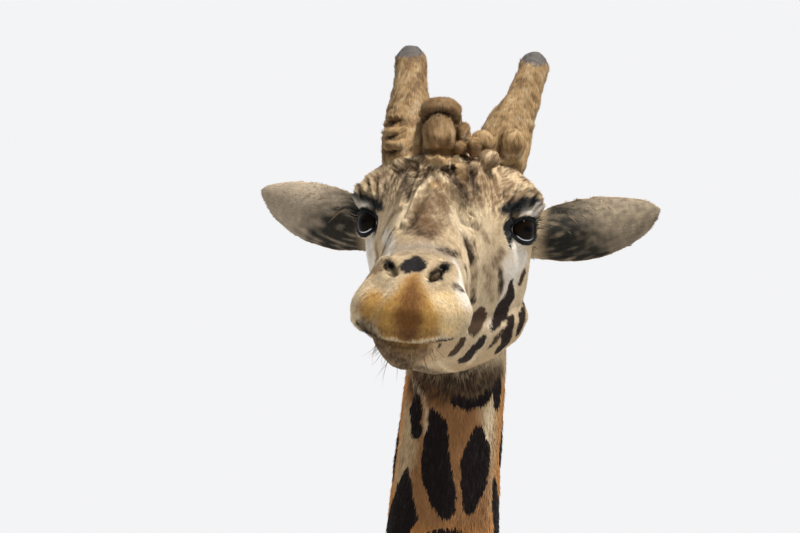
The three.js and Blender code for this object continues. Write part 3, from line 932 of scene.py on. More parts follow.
where = to_head(skin_points)
for side in (1, -1):
    out, inner, rise = eye_axes(side)
    angles, far = lid_angles(where, side)
    near = (far < 50) & ((where - EYE_OUT[side]) @ out > -14)
    chosen = np.flatnonzero(near)
    gap, edge = lid_gap(angles[chosen])
    angles = angles[chosen]
    on_edge = np.abs(gap) < LID_GRAB
    angles[on_edge] = edge[on_edge]
    gap[on_edge] = 0
    behind = LID_RADIUS - LID_GRAB - LID_DROP * ramp(-gap, 0.3, 2.2)
    before = LID_RADIUS + 1.5 * ramp(gap, 0, 3)
    goal = np.where(gap < 0, behind, before)
    radius = goal + (far[chosen] - goal) * ramp(gap, 3, LID_REACH)
    for (middle, wide, deep), height in ((LID_CREASE, angles[:, 1]), (LID_POUCH, -angles[:, 1])):
        radius = radius - deep * np.exp(-(((gap - middle) / wide) ** 2)) * ramp(height, 5, 25)
    radius = np.where(gap > 0, np.maximum(radius, EYEBALL_RADIUS + 1.2), radius)
    turn = np.radians(angles)
    place = (
        np.cos(turn[:, 1:]) * (np.cos(turn[:, :1]) * out + np.sin(turn[:, :1]) * inner)
        + np.sin(turn[:, 1:]) * rise
    )
    where[chosen] = EYE_OUT[side] + place * radius[:, None]
    print("lid corners moved:", len(chosen), "on the edge:", int(on_edge.sum()))
skin_points = from_head(where)
set_points(skin_data, skin_points)

# %% Nostrils
# A slanting slit on each side: the line of its floor, how wide it is and how deep.
NOSTRILS = [
    ([(-42, 356, -50), (-33, 392, -63), (-26, 414, -73)], 5.5, 13),
    ([(45, 366, -54), (38, 394, -66), (29, 415, -77)], 6, 14),
]
where = to_head(skin_points)
normals = normals_of(skin_data)
for line, width, depth in NOSTRILS:
    skin_points = skin_points - normals * (fold(where, line, width, depth) / 1000)[:, None]
set_points(skin_data, skin_points)

add_piece("skin", skin_data, "coat", *HEAD_FLESH[:4], *BODY_FLESH)

# %% [markdown]
# ## Markings
# Skin and hair share one pattern. A pattern that follows the animal can't come from one texture,
# so it is worked out at places: the ground colour, how deep inside a dark patch the place lies
# (in metres, so that its edge stays crisp on a coarse mesh), and the colour of that patch.
# The face is painted in listed strokes, each with a colour, a strength, a softness and a line
# of places and radii. The body is covered by cells round scattered seeds, as the real patches
# are: each grew from its own centre until it met its neighbours.

# %% Colours
COLOURS = {
    "fawn": (0.60, 0.45, 0.27),
    "tan": (0.46, 0.29, 0.13),
    "cream": (0.78, 0.62, 0.40),
    "white": (0.84, 0.76, 0.64),
    "honey": (0.86, 0.60, 0.27),
    "orange": (0.53, 0.285, 0.07),
    "rust": (0.19, 0.078, 0.022),
    "throat": (0.27, 0.113, 0.035),
    "brown": (0.16, 0.09, 0.042),
    "umber": (0.045, 0.026, 0.015),
    "grey": (0.42, 0.36, 0.29),
    "slate": (0.018, 0.015, 0.014),
    "horn_tip": (0.070, 0.058, 0.050),
    "black": (0.004, 0.006, 0.006),
    "patch": (0.024, 0.014, 0.010),
    "neck_patch": (0.012, 0.008, 0.007),
    "body_patch": (0.092, 0.040, 0.015),
    "body_ground": (0.60, 0.40, 0.205),
    "neck_ground": (0.46, 0.20, 0.058),
    "leg_ground": (0.72, 0.58, 0.40),
}
COLOURS = {name: np.array(value) for name, value in COLOURS.items()}


def ripple(points, size, seed, waves=10):
    """A smooth random field: waves of about one size in random directions, about -2 to 2."""
    random = np.random.default_rng(seed)
    ways = unit(random.normal(size=(waves, 3)))
    ways *= (2 * math.pi / size) * random.uniform(0.65, 1.5, (waves, 1))
    start = random.uniform(0, 2 * math.pi, waves)
    return np.sin(points @ ways.T + start).sum(1) / math.sqrt(waves / 2)


def ripples(points, size, *seeds):
    return np.stack([ripple(points, size, seed) for seed in seeds], axis=1)


def mixed(first, second, share):
    return first + (second - first) * np.asarray(share)[:, None]


# %% Strokes of the face and upper neck
# Colour, strength, softness in millimetres, whether the other side gets it too, and the line as
# (x, forward, up, radius).
# Some dark strokes are painted shade or shadow in hollows, slits and under the jaw; each is marked
# where it stands.
STROKES = [
    ("cream", 0.8, 9, True, [
        (31, 226, 19, 11.6), (46, 223, 5, 11.6), (56, 243, -20, 7.2), (65, 280, -63, 5.7),
        (82, 413, -105, 7), (83, 430, -126, 8.4),
    ]),
    ("cream", 0.6, 9, True, [
        (66, 167, 18, 7.3), (77, 148, 4, 7.3), (73, 186, -26, 8.7), (71, 208, -51, 4.4),
    ]),
    ("white", 0.95, 9, True, [
        (100, 45, -8, 7.4), (110, 42, -30, 13.4), (118, 11, -42, 13.5), (109, 35, -60, 11.9),
        (107, 18, -82, 6),
    ]),
    ("white", 0.8, 6, True, [
        (101, 67, -49, 8.9), (100, 55, -75, 5.9), (94, 38, -106, 4.5), (85, 36, -124, 3.7),
        (79, 69, -143, 3),
    ]),
    ("cream", 0.8, 4.5, True, [
        (111, 6, -82, 4.5), (107, -11, -105, 3.8), (104, -19, -120, 4.5), (99, 1, -132, 3.7),
        (93, 22, -147, 3),
    ]),
    ("cream", 0.8, 4.5, True, [
        (82, 60, -152, 4.5), (73, 79, -169, 3.7), (61, 75, -187, 3.7), (50, 50, -203, 4.5),
    ]),
    ("cream", 0.7, 4.5, False, [
        (17, 206, -199, 4.4), (20, 67, -215, 4.5), (26, -47, -221, 4.5), (46, -56, -216, 4.5),
        (65, -74, -204, 4.5), (80, -104, -192, 3.8), (85, -127, -183, 3.1),
    ]),
    ("white", 0.8, 7.5, False, [(-72, 183, -14, 10.2), (-51, 274, -29, 10.1), (-45, 337, -46, 7.1)]),
    ("white", 0.9, 6, False, [
        (52, 332, -53, 5.7), (62, 358, -71, 8.5), (71, 417, -95, 8.4), (77, 432, -110, 8.4),
    ]),
    ("grey", 0.6, 9, False, [
        (-57, 286, -44, 8.6), (-28, 340, -37, 10), (8, 340, -32, 10), (40, 327, -39, 10),
        (54, 321, -53, 7.1),
    ]),
    ("cream", 0.35, 6, False, [(-42, 417, -81, 6), (-25, 433, -88, 5)]),
    ("brown", 0.7, 4.5, False, [(-63, 392, -73, 5.6), (-47, 401, -67, 5.6)]),
    ("orange", 0.95, 10.5, False, [
        (4, 425, -78, 8.4), (4, 449, -98, 23.7), (4, 465, -118, 41.8), (4, 467, -134, 47.4),
    ]),
    ("orange", 0.9, 9, False, [(-48, 447, -109, 14), (-55, 453, -123, 15.4)]),
    ("honey", 0.9, 9, False, [(47, 444, -107, 14), (63, 448, -123, 16.8), (58, 450, -140, 14)]),
    ("rust", 0.95, 10.5, False, [
        (5, 429, -81, 5.6), (5, 457, -106, 16.7), (4, 467, -134, 20.9), (4, 463, -151, 16.7),
    ]),
    ("cream", 0.6, 6, False, [(-32, 443, -102, 4), (-27, 441, -97, 3)]),
    ("cream", 0.7, 6, False, [(40, 441, -104, 4), (46, 446, -110, 4)]),
    ("umber", 0.45, 6, False, [
        (-57, 452, -138, 4.2), (-31, 456, -153, 7), (4, 456, -158, 7), (42, 454, -151, 5.6),
    ]),
    ("cream", 0.95, 2.2, False, [
        (-71, 443, -134, 2.1), (-54, 451, -147, 2.1), (-33, 452, -162, 2.5), (-14, 450, -168, 2.8),
        (5, 449, -168, 2.8), (25, 448, -166, 2.8), (44, 444, -162, 2.8), (59, 438, -157, 2.1),
    ]),
    ("slate", 1, 2.2, False, [(-9, 402, -62, 8), (-1, 393, -58, 10), (9, 400, -61, 8)]),
    # Painted shade in and around the nostril slits: umber round them, black in them.
    ("umber", 0.7, 6, False, [(-42, 394, -57, 5.6), (-29, 409, -70, 5.6)]),
    ("umber", 0.7, 6, False, [(45, 394, -57, 7), (35, 414, -74, 7)]),
    ("black", 1, 2.2, False, [(-38, 393, -56, 2.1), (-30, 406, -67, 3.5), (-25, 416, -73, 2.8)]),
    ("black", 1, 2.2, False, [(47, 396, -59, 2.8), (38, 406, -70, 4.5), (30, 418, -76, 4.9)]),
    ("umber", 0.85, 4.5, False, [(-63, 447, -141, 4.2), (-51, 448, -157, 7), (-35, 433, -170, 7)]),
    ("brown", 0.6, 6, False, [(-21, 436, -175, 7), (5, 433, -181, 7), (23, 427, -174, 5.6)]),
    ("umber", 0.8, 4.5, False, [(-21, 426, -189, 7), (-5, 416, -197, 5.6), (-13, 143, -209, 5.9)]),
    # pit under the boss, in painted shade; lower lip; throat under the jaw
    ("umber", 1, 5, False, [(-44, 112, 98, 8), (-8, 128, 103, 9), (26, 120, 102, 8)]),
    # Painted shade in the valley on the right side of the arch.
    ("umber", 0.8, 6, False, [(-44, 120, 82, 6), (-40, 150, 62, 6), (-38, 188, 42, 5)]),
    ("brown", 0.4, 6, False, [
        (-60, 430, -160, 6), (-30, 440, -176, 6), (4, 440, -180, 6), (46, 430, -174, 6),
    ]),
    # Painted shade in the cleft of the mouth, under the upper lip's rim.
    ("black", 0.9, 2.5, False, [
        (-72, 434, -144, 2.5), (-50, 444, -162, 3), (-20, 446, -174, 3.4), (10, 446, -175, 3.4),
        (40, 440, -169, 3), (62, 425, -158, 2.5), (74, 400, -150, 2),
    ]),
    ("brown", 0.6, 8, False, [
        (-74, 380, -170, 7), (-54, 410, -180, 8), (-10, 420, -188, 7), (34, 410, -184, 7),
    ]),
    ("brown", 0.75, 9, False, [(-60, 300, -196, 14), (-30, 360, -204, 12), (0, 380, -204, 10)]),
    # Painted shadow on the throat just under the jaw.
    ("umber", 0.95, 12, False, [
        (-64, -80, -226, 16), (-20, -40, -236, 20), (30, -45, -234, 20), (80, -90, -220, 16),
    ]),
    ("umber", 0.7, 8, False, [(-40, 200, -200, 12), (-20, 100, -212, 14), (0, 20, -218, 14)]),
    # the brown saddle of the nose and blotches down the cheek
    ("brown", 0.8, 9, False, [(-16, 236, 20, 13), (-6, 262, 2, 14), (10, 284, -8, 12)]),
    ("brown", 0.6, 8, False, [(4, 200, 50, 12), (12, 226, 28, 13)]),
    ("brown", 0.5, 5, True, [(70, 236, -70, 4), (74, 214, -60, 5)]),
    ("brown", 0.5, 5, True, [(82, 160, -82, 5), (84, 146, -92, 6)]),
    ("brown", 0.7, 5, True, [(86, 116, -50, 7), (92, 96, -34, 6)]),
    ("brown", 0.6, 5, True, [(66, 300, -86, 6), (68, 284, -100, 7)]),
    ("brown", 0.45, 5, True, [(70, 250, -120, 5), (68, 222, -132, 6)]),
    ("brown", 0.72, 14, False, [(44, 168, 54, 16), (62, 132, 64, 20), (84, 98, 62, 18)]),
    ("brown", 0.6, 9, False, [(98, 110, 79, 9), (118, 90, 68, 11), (136, 60, 56, 9)]),
    ("cream", 0.45, 9, False, [(58, 446, -110, 12), (66, 446, -128, 14)]),
    ("umber", 0.6, 9, False, [(-66, 424, -168, 9), (-40, 400, -186, 12), (0, 392, -196, 12)]),
    ("brown", 0.25, 9, False, [(-22, 332, -36, 16), (22, 328, -36, 16)]),
    ("tan", 0.9, 4, False, [(-12, 152, 97, 5), (0, 158, 100, 6), (12, 153, 97, 5)]),
    # Painted shade: black in the furrows over each eye, under the brow (this row and the next).
    ("black", 1, 5, False, [(-141, 13, 39, 4), (-123, 32, 33, 8), (-101, 57, 26, 8), (-89, 96, 20, 5)]),
    ("black", 1, 5, False, [(90, 84, 24, 5), (104, 56, 31, 8.5), (118, 36, 37, 9), (134, 16, 43, 5)]),
    # Painted shade in the valley on the right side of the arch.
    ("umber", 0.75, 7.5, False, [(-60, 101, 76, 5.9), (-41, 171, 55, 5.8), (-35, 200, 37, 2.9)]),
    ("umber", 0.85, 4.5, False, [(-45, 9, 110, 7.5), (-11, 96, 110, 7.4), (10, 96, 109, 7.4)]),
    # Painted shade in the valley on the left side of the arch, and in the gap beside it (next row).
    ("umber", 0.85, 6, False, [(21, 161, 84, 4.4), (36, 174, 55, 7.3), (47, 184, 35, 5.8)]),
    ("umber", 0.85, 4.5, False, [(47, 151, 74, 5.9), (58, 143, 54, 5.9)]),
    # Painted shade in the trough behind the arch's crest.
    ("umber", 0.75, 3.8, False, [
        (-29, 195, 46, 2.9), (-20, 172, 69, 3.7), (-8, 165, 81, 3.7), (13, 163, 81, 3.7),
        (26, 184, 63, 2.9),
    ]),
    ("tan", 0.8, 4.5, False, [(22, 136, 95, 5.9), (38, 159, 75, 5.9)]),
    ("tan", 0.7, 4.5, False, [(-19, 150, 89, 3.7), (-1, 162, 93, 3.7), (13, 160, 91, 2.9)]),
    ("tan", 0.7, 6, False, [(2, 183, 68, 5.8), (-9, 193, 60, 5.8), (16, 186, 60, 4.4)]),
    ("cream", 0.75, 3.8, False, [
        (-35, 261, 1, 2.9), (-35, 212, 25, 3.6), (-23, 209, 46, 3.6), (-11, 191, 64, 3.6),
        (2, 182, 73, 2.9), (17, 184, 66, 2.9),
    ]),
    ("brown", 0.8, 7.5, False, [(-11, 227, 27, 10.1), (-14, 254, 8, 11.5), (5, 289, -9, 11.5)]),
    ("brown", 0.65, 7.5, False, [(11, 211, 42, 7.3), (22, 226, 25, 7.2), (25, 256, 4, 7.2)]),
    ("umber", 0.6, 6, False, [(-26, 280, -10, 7.2), (9, 299, -15, 5.7)]),
    ("umber", 0.9, 3, True, [
        (50, 240, -9, 2.2), (58, 247, -26, 4.3), (66, 245, -44, 5), (65, 251, -55, 2.9),
    ]),
    ("brown", 0.85, 3, True, [(67, 229, -24, 2.9), (71, 208, -44, 2.9)]),
    ("brown", 0.6, 6, True, [(77, 166, -55, 4.5), (83, 124, -71, 5.5)]),
    ("brown", 0.6, 6, True, [(79, 124, -83, 5.5), (83, 82, -103, 3.4)]),
    ("umber", 0.85, 3, True, [(92, 96, -57, 3), (94, 70, -80, 4.4), (90, 59, -103, 2.2)]),
    # Painted shadow of a fold down the cheek, on both sides (this row and the next).
    ("umber", 0.7, 2.2, True, [(61, 289, -54, 2.1), (65, 284, -72, 2.1)]),
    ("umber", 0.9, 3, True, [(68, 227, -93, 2.9), (67, 207, -109, 3.6)]),
    ("umber", 0.8, 3.8, False, [(62, 411, -85, 4.2), (69, 409, -89, 4.2)]),
    ("umber", 0.85, 4.5, False, [(31, 331, -35, 4.3), (49, 307, -40, 5.7)]),
    ("brown", 0.7, 4.5, True, [(91, 110, -22, 5.9)]),
    ("brown", 0.7, 4.5, True, [(74, 170, -8, 4.4), (80, 152, -18, 2.9)]),
    ("umber", 0.6, 4.5, True, [(57, 188, 17, 2.9), (66, 185, 1, 3.6)]),
    ("patch", 1, 1.8, True, [
        (105, 32, -77, 2.2), (102, 18, -101, 7.5), (90, 21, -125, 9), (84, 53, -145, 4.8),
    ]),
    ("patch", 0.8, 3.8, True, [(68, 99, -127, 8.9), (62, 135, -144, 9.5)]),
    ("patch", 1, 1.8, True, [(115, -78, -108, 3), (117, -49, -129, 5.7), (112, -53, -153, 4.5)]),
    ("patch", 1, 1.8, True, [(103, -7, -135, 4.8), (98, -8, -159, 6.7), (87, -25, -183, 6)]),
    ("patch", 0.85, 2.2, True, [(93, 18, -152, 2.4), (86, 30, -166, 3.9), (77, 39, -179, 2.4)]),
    ("patch", 1, 2.2, True, [(73, 84, -163, 4.4), (62, 99, -179, 6.8), (46, 93, -198, 6.8)]),
    ("patch", 0.85, 3, True, [(52, 183, -167, 5.1), (42, 187, -184, 6.6)]),
    ("patch", 0.75, 3.8, False, [(37, 332, -171, 4.6), (58, 409, -164, 4.2)]),
    ("patch", 0.9, 3, True, [(119, -22, -62, 3.8), (115, -14, -79, 3.8)]),
    ("throat", 0.85, 9, False, [
        (-59, -106, -236, 15.3), (14, -48, -291, 45.3), (18, -48, -367, 60.5),
        (7, -47, -443, 75.7),
    ]),
    # Painted shadow under the jaw, at the top of the throat.
    ("umber", 0.8, 10.5, False, [
        (-51, -91, -241, 12.2), (-4, -51, -244, 15.1), (41, -55, -242, 15.1), (74, -86, -225, 9.1),
    ]),
    ("cream", 0.75, 3, False, [
        (-48, -87, -232, 2.3), (-34, -68, -252, 2.7), (-25, -60, -268, 2.7), (-23, -57, -301, 3.3),
        (-20, -54, -321, 2.3),
    ]),
    ("cream", 0.8, 4.5, False, [
        (86, -151, -217, 2.3), (79, -103, -238, 3), (74, -88, -259, 4.6), (70, -82, -282, 7.6),
        (69, -82, -304, 5.3), (72, -87, -329, 3),
    ]),
    ("patch", 1, 1.8, False, [(-43, -76, -256, 3.8), (-43, -73, -280, 8.8), (-39, -68, -313, 6.8)]),
    ("patch", 1, 1.8, False, [
        (-14, -52, -279, 4.5), (-5, -50, -300, 10.6), (-7, -49, -353, 15.9), (5, -47, -398, 15.1),
        (14, -46, -424, 10.6),
    ]),
    ("patch", 1, 1.8, False, [
        (56, -66, -303, 6.1), (56, -67, -335, 14.4), (54, -65, -381, 14.4), (50, -64, -420, 7.6),
    ]),
    ("patch", 1, 1.8, False, [(85, -130, -336, 6.1), (85, -153, -383, 6.9), (85, -152, -424, 6.1)]),
    ("patch", 1, 1.8, False, [
        (-54, -80, -373, 4.6), (-56, -81, -403, 12.2), (-55, -80, -441, 19.8),
        (-57, -83, -464, 18.3),
    ]),
    ("patch", 1, 1.8, False, [(81, -109, -232, 6.1), (81, -110, -262, 6.1)]),
    ("patch", 1, 2.2, False, [
        (22, -48, -261, 5.3), (40, -55, -264, 6.4), (57, -66, -261, 6.4), (68, -79, -248, 5.3),
        (77, -95, -238, 3),
    ]),
]


# The side of the face runs away from the front, so a stroke is allowed to be longer that way.
STROKE_SQUEEZE = np.array((1, 0.4, 1))


# Dark strokes are drawn a little broader and stronger than their rows say.
DARK_TINTS = ("brown", "umber", "black", "slate")
PATCH_SPREAD, DARK_SPREAD, DARK_GAIN = 1.5, 1.3, 1.25


def stroke_depths(where, line, spread):
    """How deep each place lies inside a stroke, in millimetres, below 0 outside."""
    flat = np.array(line, float)
    flat[:, :3] *= STROKE_SQUEEZE
    found, gap = nearest_on_line(where * STROKE_SQUEEZE, flat)
    return found[:, 3] * spread - gap


def both_sides(line, twin):
    return [line, [(-x, *rest) for x, *rest in line]] if twin else [line]


# %% Seeds of the body's patches
NECK_WAY = np.array((0.0, -0.34, 0.94))
NECK_FOOT = np.array((0.0, -0.15, 2.5))
HEAD_SPACING, NECK_SPACING, TRUNK_SPACING, LEG_SPACING = 0.05, 0.205, 0.215, 0.075


def seed_space(points):
    """The body as the seeds see it: squeezed along the neck, so that its patches are long."""
    high = ramp(points[:, 2], 2.5, 3.4)
    run = (points - NECK_FOOT) @ NECK_WAY
    return points - (0.42 * high * run)[:, None] * NECK_WAY


def seed_spacing(points, where):
    """How far apart the patches' centres are."""
    legs = LEG_SPACING + (TRUNK_SPACING - LEG_SPACING) * ramp(points[:, 2], 0.9, 2.2)
    neck = NECK_SPACING - 0.125 * ramp(points[:, 2], 2.8, 4.6)
    spacing = np.where(points[:, 2] > 2.75, neck, legs)
    return np.where(over_throat(where) > -250, HEAD_SPACING, spacing)


def scattered(points, spacing, seed):
    """Indices of points chosen at random, none closer than the spacing to another."""
    order = np.random.default_rng(seed).permutation(len(points))
    taken = np.zeros(len(points), bool)
    chosen = []
    for index in order:
        if taken[index]:
            continue
        chosen.append(index)
        taken |= np.linalg.norm(points - points[index], axis=1) < spacing[index]
    return np.array(chosen)


choice = np.random.default_rng(5).permutation(len(skin_points))[:9000]
candidates = skin_points[choice]
spacing = seed_spacing(candidates, to_head(candidates))
seeds = seed_space(candidates)[scattered(seed_space(candidates), spacing, 11)]
print("patch seeds:", len(seeds))


def nearest_seeds(points, count=3, batch=20000):
    """Distances to the nearest seeds and which they are, nearest first."""
    spots = seed_space(points)
    which = np.empty((len(points), count), int)
    far = np.empty((len(points), count))
    for start in range(0, len(points), batch):
        part = slice(start, start + batch)
        square = ((spots[part, None, :] - seeds[None]) ** 2).sum(2)
        rank = np.argpartition(square, count, axis=1)[:, :count]
        taken = np.take_along_axis(square, rank, axis=1)
        order = np.argsort(taken, axis=1)
        which[part] = np.take_along_axis(rank, order, axis=1)
        far[part] = np.sqrt(np.take_along_axis(taken, order, axis=1))
    return which, far


# %% The pattern
# In metres: how far the borders of the patches wander, coarse and fine, how softly three of them
# meet, and half the width of the pale net between the patches on the trunk.
WANDER, FINE_WANDER = 0.010, 0.0035
BORDER_SOFT = 0.006
NET_HALF_WIDTH = 0.011
HALO = 0.006


def body_pattern(points, where):
    """Ground colour, depth inside a patch in metres, and patch colour, on neck, trunk and legs."""
    wobble = ripples(points, 0.16, 21, 22, 23)
    fine = ripples(points, 0.035, 24, 25, 26)
    which, far = nearest_seeds(points + WANDER * wobble + FINE_WANDER * fine)
    borders = []
    for other in (1, 2):
        apart = np.linalg.norm(seeds[which[:, 0]] - seeds[which[:, other]], axis=1)
        borders.append((far[:, other] ** 2 - far[:, 0] ** 2) / (2 * apart))
    border = -BORDER_SOFT * np.logaddexp(-borders[0] / BORDER_SOFT, -borders[1] / BORDER_SOFT)
    height = points[:, 2]
    gap = NET_HALF_WIDTH + 0.005 * ramp(height, 3.2, 4.6) + 0.012 * ramp(-height, -1.7, -1.1)
    depth = border - gap
    depth = depth - 0.2 * ramp(-height, -1.32, -1.05)
    belly = ramp(-height, -2.02, -1.9) * ramp(0.22 - np.abs(points[:, 0]), 0, 0.08)
    depth = depth - 0.02 * belly
    ground = mixed(COLOURS["body_ground"], COLOURS["neck_ground"], ramp(height, 3.3, 4.4))
    ground = mixed(ground, COLOURS["leg_ground"], np.maximum(ramp(-height, -1.9, -1.2), 0.6 * belly))
    tone = 0.5 + 0.5 * np.sin(which[:, 0] * 12.9898)
    body = COLOURS["body_patch"] * (0.75 + 0.55 * tone)[:, None]
    body = body * (1.12 - 0.5 * np.clip(depth / 0.06, 0, 1))[:, None]
    patch = mixed(body, COLOURS["neck_patch"], ramp(height, 3.4, 4.45))
    on_tail = (points[:, 1] > 1.30) & (np.abs(points[:, 0]) < 0.08) & (height < 2.3)
    low_tail = on_tail * ramp(-height, -1.9, -1.7)
    ground[on_tail] = COLOURS["body_ground"]
    ground = mixed(ground, COLOURS["umber"], low_tail)
    depth = depth - 0.02 * low_tail
    halo = np.exp(-(((depth + HALO) / HALO) ** 2)) * (depth < 0)
    ground = ground * (1 + 0.16 * halo)[:, None]
    return ground, depth, patch


def face_pattern(where):
    """The same on the head and upper neck, painted in strokes."""
    ground = np.tile(COLOURS["fawn"], (len(where), 1))
    speck = ripple(where, 11, 31, 14) + 0.7 * ripple(where, 6, 32, 14)
    crown = ramp(where[:, 2] - 0.35 * np.abs(where[:, 1] - 60), -25, 20)
    ground = mixed(ground, COLOURS["brown"], ramp(speck, -0.9, 1.5) * (0.14 + 0.76 * crown))
    blotch = ripple(where, 30, 39, 14) + 0.4 * ripple(where, 12, 40, 14)
    bare_nose = ramp(where[:, 1] - 0.4 * where[:, 2], 395, 430)
    share = (0.25 + 0.4 * crown) * ramp(blotch, 0.35, 1.1) * (1 - bare_nose)
    ground = mixed(ground, COLOURS["brown"], share)
    cheek = ramp(np.abs(where[:, 0]), 48, 75) * ramp(-where[:, 2], 10, 60)
    ground = mixed(ground, COLOURS["cream"], 0.35 * cheek)
    jaw = ramp(-where[:, 2] - 0.4 * where[:, 1] * (where[:, 1] < 200), 120, 190)
    ground = mixed(ground, COLOURS["tan"], 0.5 * jaw)
    back = ramp(-where[:, 1], 90, 170) * ramp(where[:, 2], -200, -150)
    ground = mixed(ground, COLOURS["tan"], 0.7 * back)
    depth = np.full(len(where), -0.05)
    patch = np.tile(COLOURS["patch"], (len(where), 1))
    bend = ripples(where, 26, 33, 34, 35)
    grain = ripples(where, 7, 36, 37, 38)
    moved = where + 1.1 * bend + 0.7 * grain
    for tint, strength, soft, twin, line in STROKES:
        for path in both_sides(line, twin):
            dark = tint in DARK_TINTS
            spread = PATCH_SPREAD if tint == "patch" else DARK_SPREAD if dark else 1
            inside = stroke_depths(moved, path, spread)
            if tint == "patch":
                depth = np.maximum(depth, np.minimum(inside, 8 * strength) / 1000)
                patch = mixed(patch, COLOURS["brown"], (1 - strength) * 2 * ramp(inside, -3, 0))
            else:
                share = min(strength * (DARK_GAIN if dark else 1), 1) * ramp(inside, -soft, soft)
                if tint in ("brown", "umber") and soft > 3:
                    share = share * (0.78 + 0.22 * np.tanh(speck))
                ground = mixed(ground, COLOURS[tint], share)
    return ground, depth, patch


def pattern(points):
    """Ground colour, depth inside a patch and patch colour at world places."""
    where = to_head(points)
    ground, depth, patch = body_pattern(points, where)
    near = np.linalg.norm(where - (0, 100, -120), axis=1) < 700
    head_ground, head_depth, head_patch = face_pattern(where[near])
    spot = where[near]
    throat = over_throat(spot)
    on_head = ramp(throat, -285, -255) * ramp(spot[:, 1], -230, -150)
    shown = ramp(spot[:, 1], -135, -95) * ramp(spot[:, 2], -470, -440)
    share = np.maximum(on_head, shown)
    ground[near] = mixed(ground[near], head_ground, share)
    depth[near] = depth[near] + (head_depth - depth[near]) * share
    patch[near] = mixed(patch[near], head_patch, on_head)
    return ground, depth, patch


def ear_pattern(where, normals, ground):
    """Ears: grey-beige hollows with painted shade towards the root, the right one painted lighter as if
    better lit, tan rims and mottled backs.
    """
    share = ear_share(where)
    out = np.clip((np.abs(where[:, 0]) - 100) / 200, 0, 1)
    facing = normals @ head_direction([(0, 1, 0)])[0]
    hollow = ramp(facing, -0.1, 0.35)
    speck = ripple(where, 14, 41)
    # Painted light: the right ear's hollow is painted lighter than the left's, as if more brightly lit.
    lit_right_ear = ramp(-where[:, 0], -100, 100)[:, None]
    inner = COLOURS["grey"] * ((0.36, 0.33, 0.28) + lit_right_ear * (0.34, 0.32, 0.30))
    # Painted shade in the ear's hollow: darker towards the root, down to near black along a streak.
    inner = inner * (0.75 + 0.6 * ramp(out, 0.3, 0.75))[:, None]
    inner = mixed(inner, COLOURS["cream"], 0.10 + 0.06 * speck)
    root = ramp(-out - 0.004 * (where[:, 2] - 10), -0.76, -0.26)
    streak = ripple(where * (0.3, 1, 1.4), 16, 42)
    inner = mixed(inner, COLOURS["black"], np.clip(root * (1.0 + 0.35 * streak), 0, 0.9))
    outer = mixed(np.tile(COLOURS["tan"], (len(where), 1)), COLOURS["brown"], ramp(speck, 0, 1.4))
    colour = mixed(outer, inner, hollow)
    rim = ramp(0.42 - np.abs(facing), 0, 0.3)
    colour = mixed(colour, COLOURS["tan"], 0.5 * rim)
    return mixed(ground, colour, share), share


def lid_margin(where):
    """Millimetres from the edge of the nearer eye's lids; far away it is just large."""
    margin = np.full(len(where), 99.0)
    for side in (1, -1):
        near = np.linalg.norm(where - EYE_OUT[side], axis=1) < 60
        angles, _ = lid_angles(where[near], side)
        margin[near] = lid_gap(angles)[0]
    return margin


def hollows(mesh, rounds, shallow, deep):
    """0 on flat and swelling places, up to 1 in creases and pits, from the mesh's own shape."""
    points = points_of(mesh)
    edges = edges_of(mesh)
    settled = points
    for _ in range(rounds):
        settled = neighbour_mean(settled, edges)
    depth = ((settled - points) * normals_of(mesh)).sum(1)
    return ramp(depth, shallow, deep)


# Painted shade: how deep each place lies in a crease or pit of the head, used to darken skin and hair
# there.
skin_crease_shade = hollows(skin_data, 3, 0.0004, 0.0022) * ramp(points_of(skin_data)[:, 2], 4.3, 4.6)


def hide_colours(points, normals):
    """Everything the skin and the coat need to know about colour."""
    where = to_head(points)
    ground, depth, patch = pattern(points)
    ground, ear = ear_pattern(where, normals, ground)
    depth = depth - 0.1 * ear
    margin = lid_margin(where)
    # A pale band over each upper lid: pale fur there, and partly a painted highlight where the lid
    # catches the light.
    upper = ramp(where[:, 2], 0, 14)
    white = np.exp(-(((margin - 7.5) / 2.2) ** 2)) * upper * ramp(-where[:, 1], -40, -22)
    ground = mixed(ground, COLOURS["white"], np.clip(1.2 * white, 0, 1))
    corner = np.maximum(
        *[ramp(7 - line_distance(where, [(s * 98, 50, 3), (s * 93, 78, 0)]), 0, 4) for s in (1, -1)]
    )
    rim = np.maximum(ramp(5.0 - margin, 0, 1.6), corner)
    # Painted shade: the nostril slits and their edges are painted black; the lid rims above are the
    # skin's own black.
    for line, width, _ in NOSTRILS:
        rim = np.maximum(rim, ramp(width * 1.25 + 1.5 - line_distance(where, line), 0, 4))
    ground = mixed(ground, COLOURS["black"], rim)
    return ground, depth, patch


# %% Storing values on a mesh
def add_colour(mesh, name, values):
    layer = mesh.attributes.new(name, "FLOAT_COLOR", "POINT")
    full = np.ones((len(values), 4), np.float32)
    full[:, :3] = values
    layer.data.foreach_set("color", full.ravel())


def add_values(mesh, name, values):
    layer = mesh.attributes.new(name, "FLOAT", "POINT")
    layer.data.foreach_set("value", values.astype(np.float32))


def add_spots(mesh, spots):
    """Writes the place of every face corner on the picture that the colours are baked into."""
    layer = mesh.uv_layers.new(name="OFBake")
    layer.data.foreach_set("uv", spots.astype(np.float32).ravel())


print("storing helpers ready")

# %% The skin's own colours
skin_normals = normals_of(skin_data)
ground, depth, patch = hide_colours(skin_points, skin_normals)
# Painted shade in the head's creases and pits.
ground = ground * (1 - 0.6 * skin_crease_shade[:, None])
add_colour(skin_data, "ground", ground)
add_colour(skin_data, "patch_colour", patch)
add_values(skin_data, "patch_depth", depth)
print("skin inside patches:", round(float((depth > 0).mean()), 3))

